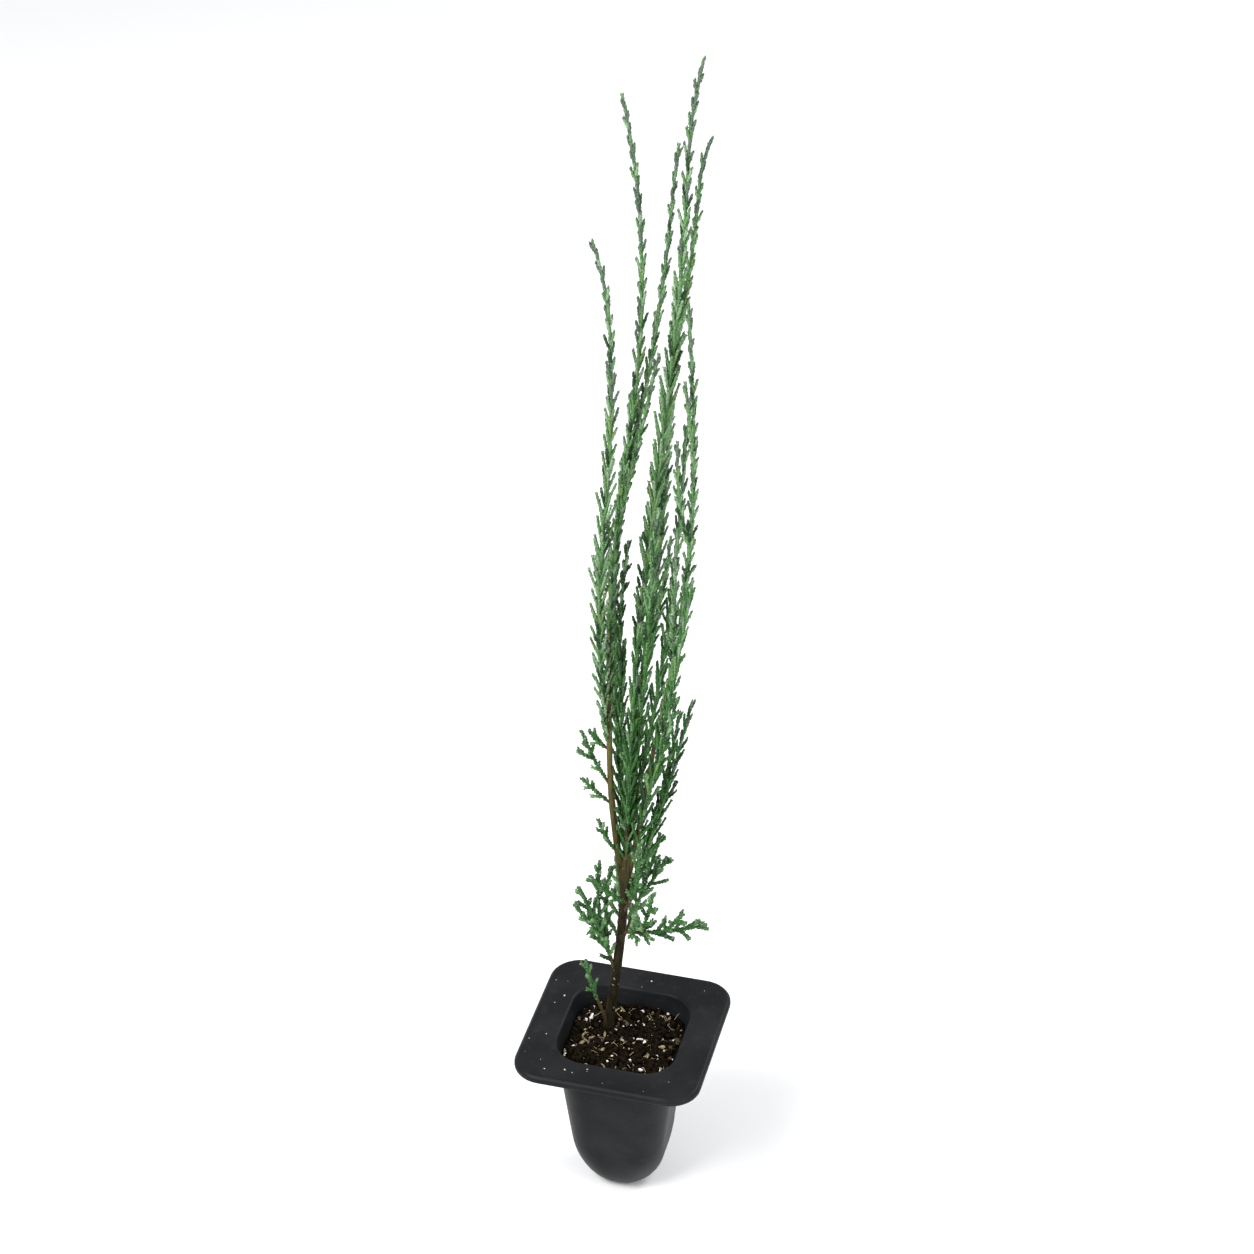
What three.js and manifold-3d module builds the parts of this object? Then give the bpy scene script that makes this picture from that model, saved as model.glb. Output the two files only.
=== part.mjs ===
// A young blue arrow juniper in one moulded cell of potting mix: a slim trunk that forks low down into
// upright boughs, each of which runs on as a whip of scaly green shoots.
// Millimetres, +Z up. The origin is the middle of the pot's flat underside, and the front faces -Y.
import * as THREE from "three";
import { mergeVertices } from "three/addons/utils/BufferGeometryUtils.js";
import Module from "manifold-3d";

const wasm = await Module();
wasm.setup();

// Driving dimensions
const CLEARANCE = 0.3; // between any two pieces that meet

const pot = {
  height: 73, // floor to the top of the rim
  wall: 1.2,
  mouth: 23.2, // half the width of the opening, at the rim
  throat: 22.4, // half the outside width where the funnel of the mouth ends
  throatDepth: 16,
  knuckle: 18.6, // half the outside width where the rounded bottom begins
  knuckleHeight: 24,
  foot: 7.6, // half the width of the flat underside, which is round
  roundness: 0.52, // corner radius as a share of the half width, above the rounded bottom
  rim: 13.5, // width of the flat rim round the mouth
  rimCorner: 12,
  rimThickness: 1.4,
  rimBevel: 0.5,
  lip: 3.4, // height of the turned-down edge
  edgeRadius: 1.6, // of the rounded edge between rim and mouth
  sides: 32, // facets round the pot
};
const throatHeight = pot.height - pot.throatDepth;
const wallHeights = [3, 8, 15, pot.knuckleHeight, throatHeight, pot.height - 7]; // where its facets end

const soilDrop = 8; // from the rim down to the potting mix
const soilTop = pot.height - soilDrop;

// A limb or a shoot runs straight from its foot to its tip, bowed out by one half wave and swayed by a
// whole one, both as [x, y]. Tips stand at their height over the rim. What a limb grows on, and at what
// share of that limb's length, gives its foot.
const trunk = {
  foot: [-9, 9.1, -soilDrop - 2], // below the flat cut at the soil
  tip: [4.4, 1.8, 173],
  bow: [3.4, -1.7],
  sway: [1.1, 0],
  radius: 1.95,
  tipRadius: 0.95,
  thinning: 1.6, // power by which it narrows
  flare: 1, // added to its radius at the soil
  flareHeight: 4,
  sides: 10,
  steps: 20,
};
const boughSides = 7;
const boughSteps = 8;

const boughs = {
  left_bough: {
    on: "trunk", at: 0.43, tip: [-4.4, -1, 149.6], bow: [-1.8, -0.8],
    radius: 1.45, tipRadius: 1,
  },
  right_bough: {
    on: "trunk", at: 0.405, tip: [11.6, -1.4, 136], bow: [0.6, -1],
    radius: 1.2, tipRadius: 0.85,
  },
  back_bough: {
    on: "trunk", at: 0.38, tip: [1.5, 12.6, 132], bow: [-1.6, 2.6],
    radius: 1.2, tipRadius: 0.85,
  },
};

// How sprays stand on a shoot, from its foot to its tip: their length, their angle to it in degrees, and
// the distance from one to the next
const whip = { reach: [20, 5], angle: [21, 16], spacing: [4, 5.3], start: 0.015 };
const plume = { reach: [21, 10], angle: [27, 18], spacing: [4, 5], start: 0.05 };
const tuft = { reach: [13, 8.5], angle: [42, 30], spacing: [3.8, 4.6], start: 0.14 };
const sprig = { reach: [8, 5], angle: [44, 32], spacing: [4, 5], start: 0.3 };

const masses = {
  main_leader: {
    on: "trunk", at: 1, tip: [24.6, -2, 401], bow: [1.4, -0.6], habit: whip, seed: 11,
    forks: [{ at: 0.69, tip: [28.6, 4.4, 372], bow: [-0.9, 1] }],
  },
  left_leader: {
    on: "left_bough", at: 1, tip: [-1.3, 3.4, 384], bow: [5.3, 0.6], sway: [-4.3, 0], habit: whip, seed: 23,
    forks: [
      { at: 0.445, tip: [16.5, 7.6, 367], bow: [2, 0.8] },
      { at: 0.1, tip: [2.9, -3.4, 226], bow: [2, -1.4] },
      { at: 0.45, tip: [10.5, -0.6, 308], bow: [0.6, -0.8] },
    ],
  },
  outer_leader: {
    on: "left_bough", at: 0.8, tip: [-6.8, -9.8, 338], bow: [1.8, -4], sway: [-3.2, 0],
    habit: whip, seed: 37, forks: [],
  },
  right_leader: {
    on: "right_bough", at: 1, tip: [23.9, -6.6, 318], bow: [7.4, -1.6], habit: whip, seed: 41,
    forks: [
      { at: 0.45, tip: [22.7, -11, 277], bow: [-0.4, -1.4] },
      { at: 0.22, tip: [21.5, -11.4, 222], bow: [0.4, -1.6] },
    ],
  },
  right_shoot: {
    on: "right_bough", at: 0.16, tip: [28.4, -12, 220], bow: [1.6, -3], habit: plume, seed: 53,
    forks: [{ at: 0.34, tip: [23.2, -16, 168], bow: [0.4, -1.6] }],
  },
  side_shoot: {
    on: "trunk", at: 0.365, tip: [23.5, 5.8, 152], bow: [1.6, 0.4], habit: plume, seed: 61,
    forks: [{ at: 0.4, tip: [17.8, 11.6, 142], bow: [0, 1.6] }],
  },
  front_shoot: {
    on: "trunk", at: 0.53, tip: [15.4, -5.6, 240], bow: [1.6, -3], habit: plume, seed: 71,
    forks: [],
  },
  middle_shoot: {
    on: "trunk", at: 0.465, tip: [6.2, -5, 192], bow: [-0.6, -4.4], habit: plume, seed: 73,
    forks: [],
  },
  left_shoot: {
    on: "trunk", at: 0.48, tip: [-0.3, 6, 174], bow: [-2, 3.4], habit: plume, seed: 79,
    forks: [],
  },
  inner_shoot: {
    on: "trunk", at: 0.55, tip: [16.5, 10.6, 254], bow: [3, 2.4], habit: plume, seed: 83,
    forks: [],
  },
  back_leader: {
    on: "back_bough", at: 1, tip: [11.7, 15.6, 304], bow: [1.4, 0.8], habit: whip, seed: 97,
    forks: [{ at: 0.2, tip: [11.3, 22, 210], bow: [0.6, 1.6] }],
  },
  back_shoot: {
    on: "back_bough", at: 0.35, tip: [-5.7, 13.2, 248], bow: [-4.4, 1.6], habit: plume, seed: 101,
    forks: [{ at: 0.3, tip: [-10.7, 21, 178], bow: [-0.6, 1.4] }],
  },
  low_right_tuft: {
    on: "trunk", at: 0.29, tip: [31, -5, 61], bow: [1, -1.4], habit: tuft, seed: 109,
    forks: [
      { at: 0.28, tip: [12, -4, 69], bow: [0, -1] },
      { at: 0.55, tip: [24, -9.4, 67], bow: [0, -1] },
    ],
  },
  front_tuft: {
    on: "trunk", at: 0.345, tip: [7.5, -9.4, 94], bow: [-2, -2.6], habit: tuft, seed: 127,
    forks: [{ at: 0.4, tip: [-4.6, -11.4, 86], bow: [-0.6, -1] }],
  },
  low_left_tuft: {
    on: "trunk", at: 0.165, tip: [-16, -2, 65], bow: [1.5, -0.6], habit: tuft, seed: 131,
    forks: [
      { at: 0.5, tip: [-12.3, 4.6, 73], bow: [-1, 0.6] },
      { at: 0.3, tip: [-4, -5, 77], bow: [-0.6, -1.4] },
    ],
  },
  left_tuft: {
    on: "left_bough", at: 0.43, tip: [-13.9, -4, 139], bow: [-0.4, -0.6], habit: sprig, seed: 149,
    forks: [{ at: 0.46, tip: [-14.8, -7, 128], bow: [0, -0.6] }],
  },
  fork_tuft: {
    on: "left_bough", at: 0.24, tip: [-11.5, -1, 98], bow: [-0.4, -0.6], habit: sprig, seed: 151,
    forks: [],
  },
  back_tuft: {
    on: "trunk", at: 0.215, tip: [-12.5, 25, 70], bow: [0.6, 2], habit: tuft, seed: 163,
    forks: [{ at: 0.4, tip: [-4, 24, 64], bow: [0.6, 0.6] }],
  },
  back_right_tuft: {
    on: "trunk", at: 0.25, tip: [8, 21, 78], bow: [1, 2], habit: tuft, seed: 173,
    forks: [{ at: 0.46, tip: [11, 17.6, 70], bow: [0.4, 0] }],
  },
  foot_sprig: {
    on: "trunk", at: 0.05, tip: [-14.5, -1, 29], bow: [1, -0.8], habit: sprig, seed: 179,
    forks: [],
  },
};

const twig = { radius: 0.85, forkRadius: 0.62, tipRadius: 0.42, sides: 3, step: 16 };
const spray = {
  width: 2.9,
  keel: 0.5, // height of its keel as a share of its width
  belly: 0.58, // share of its length where it is widest
  sunk: 0.2,
  fullAt: 10, // length from which it has its full width
  turn: 137.5, // round the shoot from one spray to the next
  tries: 5,
  last: 0.99, // share of the shoot's length past which none grows
  beyond: 3, // how far past the shoot's tip it may reach
};
const chance = { turn: 24, reach: 0.4, angle: 0.4 }; // how far each of a spray's values strays

// A repeatable stream of numbers from 0 to 1
function seeded(seed) {
  let state = seed >>> 0;
  return () => {
    state = (state + 0x6d2b79f5) >>> 0;
    let mixed = Math.imul(state ^ (state >>> 15), 1 | state);
    mixed = (mixed + Math.imul(mixed ^ (mixed >>> 7), 61 | mixed)) ^ mixed;
    return ((mixed ^ (mixed >>> 14)) >>> 0) / 4294967296;
  };
}

const mix = (from, to, share) => from + (to - from) * share;
const radians = THREE.MathUtils.degToRad;
const overRim = ([x, y, height]) => new THREE.Vector3(x, y, pot.height + height);

// The line that a limb or a shoot follows
class BowedLine extends THREE.Curve {
  constructor(foot, { tip, bow = [0, 0], sway = [0, 0] }) {
    super();
    Object.assign(this, { foot, tip: overRim(tip), bow, sway });
  }

  getPoint(share) {
    const half = Math.sin(Math.PI * share);
    const whole = Math.sin(2 * Math.PI * share);
    const point = this.foot.clone().lerp(this.tip, share);
    point.x += this.bow[0] * half + this.sway[0] * whole;
    point.y += this.bow[1] * half + this.sway[1] * whole;
    return point;
  }
}

// A closed geometry as a solid that can be joined and cut
function solidOf(geometry) {
  const bare = new THREE.BufferGeometry().setAttribute("position", geometry.getAttribute("position"));
  const merged = mergeVertices(bare.setIndex(geometry.index), 1e-4);
  return new wasm.Manifold(
    new wasm.Mesh({
      numProp: 3,
      vertProperties: new Float32Array(merged.attributes.position.array),
      triVerts: new Uint32Array(merged.index.array),
    }),
  );
}

function geometryOf(solid) {
  const mesh = solid.getMesh();
  return new THREE.BufferGeometry()
    .setAttribute("position", new THREE.BufferAttribute(new Float32Array(mesh.vertProperties), 3))
    .setIndex(new THREE.BufferAttribute(new Uint32Array(mesh.triVerts), 1));
}

function meshFrom(points, faces) {
  const positions = points.flatMap((point) => point.toArray());
  return new THREE.BufferGeometry()
    .setAttribute("position", new THREE.Float32BufferAttribute(positions, 3))
    .setIndex(faces);
}

// A limb of changing radius along a line, closed by flat ends. It can be made larger all over, to cut with.
function limb(line, radiusAt, sides, steps, larger = 0) {
  const frames = line.computeFrenetFrames(steps, false);
  const points = [];
  for (let i = 0; i <= steps; i++) {
    const beyond = i === 0 ? -larger : i === steps ? larger : 0;
    const centre = line.getPointAt(i / steps).addScaledVector(frames.tangents[i], beyond);
    const radius = radiusAt(i / steps) + larger;
    for (let k = 0; k < sides; k++) {
      const angle = (2 * Math.PI * k) / sides;
      const across = frames.normals[i].clone().multiplyScalar(radius * Math.cos(angle));
      points.push(across.addScaledVector(frames.binormals[i], radius * Math.sin(angle)).add(centre));
    }
  }
  const faces = [];
  for (let i = 0; i < steps; i++) {
    for (let k = 0; k < sides; k++) {
      const a = i * sides + k;
      const b = i * sides + ((k + 1) % sides);
      faces.push(a, b, b + sides, a, b + sides, a + sides);
    }
  }
  const last = steps * sides;
  for (let k = 1; k < sides - 1; k++) {
    faces.push(0, k + 1, k);
    faces.push(last, last + k, last + k + 1);
  }
  return solidOf(meshFrom(points, faces));
}

// How far a rounded square of this half width and corner radius reaches in a direction
function squareReach(angle, half, corner) {
  const c = Math.abs(Math.cos(angle));
  const s = Math.abs(Math.sin(angle));
  const core = half - corner;
  if (half * Math.min(c, s) <= core * Math.max(c, s)) return half / Math.max(c, s);
  const along = core * (c + s);
  return along + Math.sqrt(along * along - 2 * core * core + corner * corner);
}

// A turned profile of [half width, height, corner radius] stations, squared off into a rounded square plan
function squareTurned(stations) {
  const profile = stations.map(([half, z]) => new THREE.Vector2(half, z));
  const turned = new THREE.LatheGeometry(profile, pot.sides).rotateX(Math.PI / 2);
  const position = turned.attributes.position;
  for (let i = 0; i < position.count; i++) {
    const [half, , corner] = stations[i % stations.length];
    if (half === 0) continue;
    const angle = Math.atan2(position.getY(i), position.getX(i));
    const reach = squareReach(angle, half, corner);
    position.setXY(i, reach * Math.cos(angle), reach * Math.sin(angle));
  }
  return turned;
}

// Half the pot's outside width at a height
function potHalf(z) {
  if (z >= throatHeight) {
    const share = (z - throatHeight) / pot.throatDepth;
    return mix(pot.throat, pot.mouth + pot.wall, share ** 1.5);
  }
  if (z >= pot.knuckleHeight) {
    return mix(pot.knuckle, pot.throat, (z - pot.knuckleHeight) / (throatHeight - pot.knuckleHeight));
  }
  const drop = 1 - z / pot.knuckleHeight;
  return mix(pot.foot, pot.knuckle, Math.sqrt(1 - drop * drop));
}

// The cell is round at its foot and more square towards the knuckle
const roundnessAt = (z) => mix(1, pot.roundness, Math.min(1, z / pot.knuckleHeight));
const station = (half, z) => [half, z, roundnessAt(z) * half];

// The cell: rounded bottom, tapering wall, flared mouth, flat rim and turned-down lip
function potGeometry() {
  const rimHalf = pot.mouth + pot.rim;
  const rimStation = (inset, z) => [rimHalf - inset, z, pot.rimCorner - inset];
  const under = pot.height - pot.rimThickness;
  const roundedEdge = [90, 45, 0].map((turn) => {
    const half = pot.mouth + pot.edgeRadius * (1 - Math.cos(radians(turn)));
    return station(half, pot.height - pot.edgeRadius * (1 - Math.sin(radians(turn))));
  });
  return squareTurned([
    [0, 0, 0],
    station(pot.foot, 0),
    ...wallHeights.map((z) => station(potHalf(z), z)),
    station(potHalf(under), under),
    rimStation(pot.wall, under),
    rimStation(pot.wall, pot.height - pot.lip),
    rimStation(0, pot.height - pot.lip),
    rimStation(pot.rimBevel, pot.height),
    ...roundedEdge,
    ...wallHeights.map((z) => station(potHalf(z) - pot.wall, z)).reverse(),
    station(pot.foot - pot.wall, pot.wall),
    [0, pot.wall, 0],
  ]);
}

// The potting mix fills the cell, level at its top
function pottingMixGeometry() {
  const inset = pot.wall + CLEARANCE;
  const heights = wallHeights.filter((z) => z < soilTop);
  return squareTurned([
    [0, inset, 0],
    station(pot.foot - inset, inset),
    ...heights.map((z) => station(potHalf(z) - inset, z + CLEARANCE)),
    station(potHalf(soilTop) - inset, soilTop),
    [0, soilTop, 0],
  ]);
}

// The woody limbs made so far, each with its line, its solid and a sleeve that clears it
const limbs = {};

// Every limb, shoot and spray so far, as rods that the next ones keep clear of
const rods = [];

function addRods(owner, line, radiusAt) {
  const count = Math.max(2, Math.ceil(line.getLength() / 7));
  for (let i = 0; i < count; i++) {
    const from = line.getPointAt(i / count);
    const to = line.getPointAt((i + 1) / count);
    rods.push({ owner, from, to, radius: radiusAt((i + 0.5) / count) });
  }
}

function addLimb(name, line, radiusAt, sides, steps) {
  const solid = cutClear(limb(line, radiusAt, sides, steps));
  limbs[name] = { line, solid, sleeve: limb(line, radiusAt, sides, steps, CLEARANCE) };
  addRods(name, line, radiusAt);
}

// What is left of a solid outside the limbs, without loose scraps
function cutClear(solid) {
  for (const { sleeve } of Object.values(limbs)) solid = solid.subtract(sleeve);
  return solid.decompose().sort((a, b) => b.volume() - a.volume())[0];
}

// A shoot on a limb's tip starts just past it, and one on its side starts inside it and is cut clear
function footOn({ on, at }) {
  const { line } = limbs[on];
  const foot = line.getPointAt(at);
  return at < 1 ? foot : foot.addScaledVector(line.getTangentAt(1), 1.5 * CLEARANCE);
}

function trunkRadius(share) {
  const rise = Math.max(0, mix(trunk.foot[2], trunk.tip[2], share) + soilDrop);
  const flare = trunk.flare * Math.exp(-rise / trunk.flareHeight);
  return mix(trunk.radius, trunk.tipRadius, share ** trunk.thinning) + flare;
}

addLimb("trunk", new BowedLine(overRim(trunk.foot), trunk), trunkRadius, trunk.sides, trunk.steps);
const belowCut = new THREE.BoxGeometry(2 * pot.mouth, 2 * pot.mouth, soilTop + CLEARANCE);
belowCut.translate(0, 0, (soilTop + CLEARANCE) / 2);
limbs.trunk.solid = limbs.trunk.solid.subtract(solidOf(belowCut));
for (const [name, bough] of Object.entries(boughs)) {
  const line = new BowedLine(footOn(bough), bough);
  addLimb(name, line, (share) => mix(bough.radius, bough.tipRadius, share), boughSides, boughSteps);
}

// The shortest distance between two rods' centre lines
function rodGap(first, second) {
  const u = first.to.clone().sub(first.from);
  const v = second.to.clone().sub(second.from);
  const w = first.from.clone().sub(second.from);
  const uu = u.dot(u);
  const uv = u.dot(v);
  const vv = v.dot(v);
  const apart = uu * vv - uv * uv;
  const clamp = (value) => THREE.MathUtils.clamp(value, 0, 1);
  const near = apart > 1e-9 ? clamp((uv * v.dot(w) - vv * u.dot(w)) / apart) : 0;
  const t = clamp((uv * near + v.dot(w)) / vv);
  const s = clamp((uv * t - u.dot(w)) / uu);
  return w.addScaledVector(u, s).addScaledVector(v, -t).length();
}

function isClear(rod) {
  return rods.every(
    (other) => other.owner === rod.owner || rodGap(rod, other) > rod.radius + other.radius + CLEARANCE,
  );
}

// A slim keeled spindle of six faces, from its root to its tip
function spindle({ root, tip, width }) {
  const axis = tip.clone().sub(root);
  const across = new THREE.Vector3(0, 0, 1).cross(axis).setLength(width / 2);
  const keel = axis.clone().cross(across).setLength(width * spray.keel);
  const belly = root.clone().addScaledVector(axis, spray.belly);
  const ring = [across, keel, across.clone().negate()].map((arm) => arm.add(belly));
  const faces = [0, 2, 1, 0, 3, 2, 0, 1, 3, 4, 1, 2, 4, 2, 3, 4, 3, 1];
  return solidOf(meshFrom([root, ...ring, tip], faces));
}

// The sprays along one shoot, turned round it step by step. One that would touch another piece turns on,
// and is left out if it still would.
function spraysAlong(owner, line, habit, random) {
  const length = line.getLength();
  const stray = (value, range) => value * (1 + range * (random() - 0.5));
  const sprays = [];
  let turn = 360 * random();
  for (let share = habit.start; share < spray.last; share += mix(...habit.spacing, share) / length) {
    const foot = line.getPointAt(share);
    const tangent = line.getTangentAt(share);
    const longest = (1 - share) * length + spray.beyond;
    const reach = Math.min(stray(mix(...habit.reach, share), chance.reach), longest);
    const lean = radians(stray(mix(...habit.angle, share), chance.angle));
    turn += spray.turn + chance.turn * (random() - 0.5);
    for (let attempt = 0; attempt < spray.tries; attempt++) {
      const side = new THREE.Vector3(1, 0, 0).cross(tangent).normalize();
      side.applyAxisAngle(tangent, radians(turn));
      const direction = tangent.clone().multiplyScalar(Math.cos(lean));
      direction.addScaledVector(side, Math.sin(lean));
      const root = foot.clone().addScaledVector(direction, -spray.sunk);
      const tip = foot.clone().addScaledVector(direction, reach);
      const width = spray.width * Math.min(1, reach / spray.fullAt);
      if (isClear({ owner, from: foot, to: tip, radius: width / 2 })) {
        sprays.push({ root, tip, width });
        rods.push({ owner, from: root, to: tip, radius: width / 2 });
        break;
      }
      turn += spray.turn / 2;
    }
  }
  return sprays;
}

// The shoot of a mass and its forks, each with the radius that it thins from
function shootsOf(mass) {
  const line = new BowedLine(footOn(mass), mass);
  const forks = mass.forks.map((fork) => new BowedLine(line.getPointAt(fork.at), fork));
  return [
    { line, radius: twig.radius },
    ...forks.map((forked) => ({ line: forked, radius: twig.forkRadius })),
  ];
}

const growing = Object.entries(masses).map(([name, mass]) => ({ name, mass, shoots: shootsOf(mass) }));
for (const { name, shoots } of growing) {
  for (const { line, radius } of shoots) addRods(name, line, (share) => mix(radius, twig.tipRadius, share));
}

// One mass of foliage: its shoot and forks with the sprays fused on
function massSolid({ name, mass, shoots }) {
  const random = seeded(mass.seed);
  const solids = [];
  for (const { line, radius } of shoots) {
    const steps = Math.max(2, Math.round(line.getLength() / twig.step));
    solids.push(limb(line, (share) => mix(radius, twig.tipRadius, share), twig.sides, steps));
    for (const grown of spraysAlong(name, line, mass.habit, random)) solids.push(spindle(grown));
  }
  return cutClear(wasm.Manifold.union(solids));
}

// Materials
const plastic = new THREE.MeshStandardMaterial({ color: 0x2a2c2f, roughness: 0.48 });
const pottingMix = new THREE.MeshStandardMaterial({ color: 0x2e2118, roughness: 1 });
const bark = new THREE.MeshStandardMaterial({ color: 0x5a4232, roughness: 0.9 });
const foliage = new THREE.MeshStandardMaterial({ color: 0x4c8560, roughness: 0.7 });

const part = new THREE.Group();

function add(name, geometry, material) {
  const mesh = new THREE.Mesh(geometry, material);
  mesh.name = name;
  part.add(mesh);
}

add("pot", potGeometry(), plastic);
add("potting_mix", pottingMixGeometry(), pottingMix);
for (const [name, { solid }] of Object.entries(limbs)) add(name, geometryOf(solid), bark);
for (const grown of growing) add(grown.name, geometryOf(massSolid(grown)), foliage);

export default part;
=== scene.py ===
"""The looks of a young columnar juniper that stands in one moulded cell of potting mix.

Lengths are in millimetres in the part's own frame: +Z up, the front towards -Y, the origin in the middle
of the cell's flat underside. A gathered piece turns them into metres as it becomes a mesh.
"""

import logging
import math
from dataclasses import dataclass, field
from enum import Enum
from functools import cached_property

import bmesh
import bpy
import numpy as np
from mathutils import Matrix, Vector, noise


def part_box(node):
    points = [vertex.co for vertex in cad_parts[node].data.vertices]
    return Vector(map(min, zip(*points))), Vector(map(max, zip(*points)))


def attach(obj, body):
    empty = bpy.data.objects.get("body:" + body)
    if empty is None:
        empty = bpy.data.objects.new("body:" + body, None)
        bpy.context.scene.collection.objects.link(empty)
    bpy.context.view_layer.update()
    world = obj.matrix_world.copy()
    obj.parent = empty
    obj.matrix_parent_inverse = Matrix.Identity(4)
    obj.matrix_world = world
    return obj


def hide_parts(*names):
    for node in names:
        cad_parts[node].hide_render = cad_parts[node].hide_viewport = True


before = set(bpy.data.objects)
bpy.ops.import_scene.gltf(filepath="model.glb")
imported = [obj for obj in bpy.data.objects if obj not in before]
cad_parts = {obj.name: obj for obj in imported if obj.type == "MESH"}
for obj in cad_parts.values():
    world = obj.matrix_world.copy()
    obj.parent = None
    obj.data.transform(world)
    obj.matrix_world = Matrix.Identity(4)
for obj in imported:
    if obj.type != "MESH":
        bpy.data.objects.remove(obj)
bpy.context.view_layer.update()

MM = 0.001
TINY = 1e-6  # a length that counts as none
LOG = logging.getLogger("juniper")

Colour = tuple[float, float, float]
Pair = tuple[float, float]
Place = tuple[float, float, float]
EVEN: Place = (1.0, 1.0, 1.0)  # a stretch that leaves every axis as it is
WHITE: Colour = (1.0, 1.0, 1.0)


def highest(node: str) -> Place:
    """The highest corner of a CAD node's box, in millimetres to a hundredth."""
    return tuple(round(side / MM, 2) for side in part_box(node)[1])


def lerp(ends: Pair, share: "Socket | np.ndarray | float") -> "Socket | np.ndarray | float":
    """The value at a share of the way between two ends."""
    return ends[0] + (ends[1] - ends[0]) * share


def clamped(value: float) -> float:
    """The value, kept between 0 and 1."""
    return min(1.0, max(0.0, value))


def placed(name: str, data: bpy.types.ID) -> bpy.types.Object:
    """Puts a new object into the scene.

    Args:
        name: Its name.
        data: The mesh, the lamp or the camera that it shows.

    Returns:
        The object.
    """
    made = bpy.data.objects.new(name, data)
    bpy.context.scene.collection.objects.link(made)
    return made


# Shader maths


MIX_SHARE, MIX_FIRST, MIX_SECOND, MIX_COLOUR = 0, 6, 7, 2  # the Mix node's sockets for colours


@dataclass(frozen=True)
class Grain:
    """One layer of noise in a finish, smooth or in patches."""

    size: float  # width of its largest spots, in millimetres
    detail: float = 3.0  # how many finer layers it has
    stretch: Place = EVEN  # what each axis is multiplied by
    rough: float = 0.5  # how strong the finer layers are
    patches: Pair | None = None  # the noise where a patch begins and where it is full


@dataclass(frozen=True)
class Socket:
    """A value inside a shader. Arithmetic on it adds Math nodes."""

    shader: "Shader"
    link: bpy.types.NodeSocket

    def _math(self, operation: str, first: "Socket | float", second: "Socket | float") -> "Socket":
        """One Math node on two values."""
        return self.shader.node("ShaderNodeMath", {"operation": operation}, {0: first, 1: second})

    def __add__(self, other: "Socket | float") -> "Socket":
        """The sum."""
        return self._math("ADD", self, other)

    def __sub__(self, other: "Socket | float") -> "Socket":
        """The difference."""
        return self._math("SUBTRACT", self, other)

    def __rsub__(self, other: "Socket | float") -> "Socket":
        """The difference, the other way round."""
        return self._math("SUBTRACT", other, self)

    def __mul__(self, other: "Socket | float") -> "Socket":
        """The product."""
        return self._math("MULTIPLY", self, other)

    __radd__ = __add__
    __rmul__ = __mul__

    def between(self, low: float, high: float) -> "Socket":
        """0 below low, 1 above high and smooth between them."""
        inputs = {"Value": self, "From Min": low, "From Max": high}
        return self.shader.node("ShaderNodeMapRange", {"interpolation_type": "SMOOTHSTEP"}, inputs)


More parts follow.
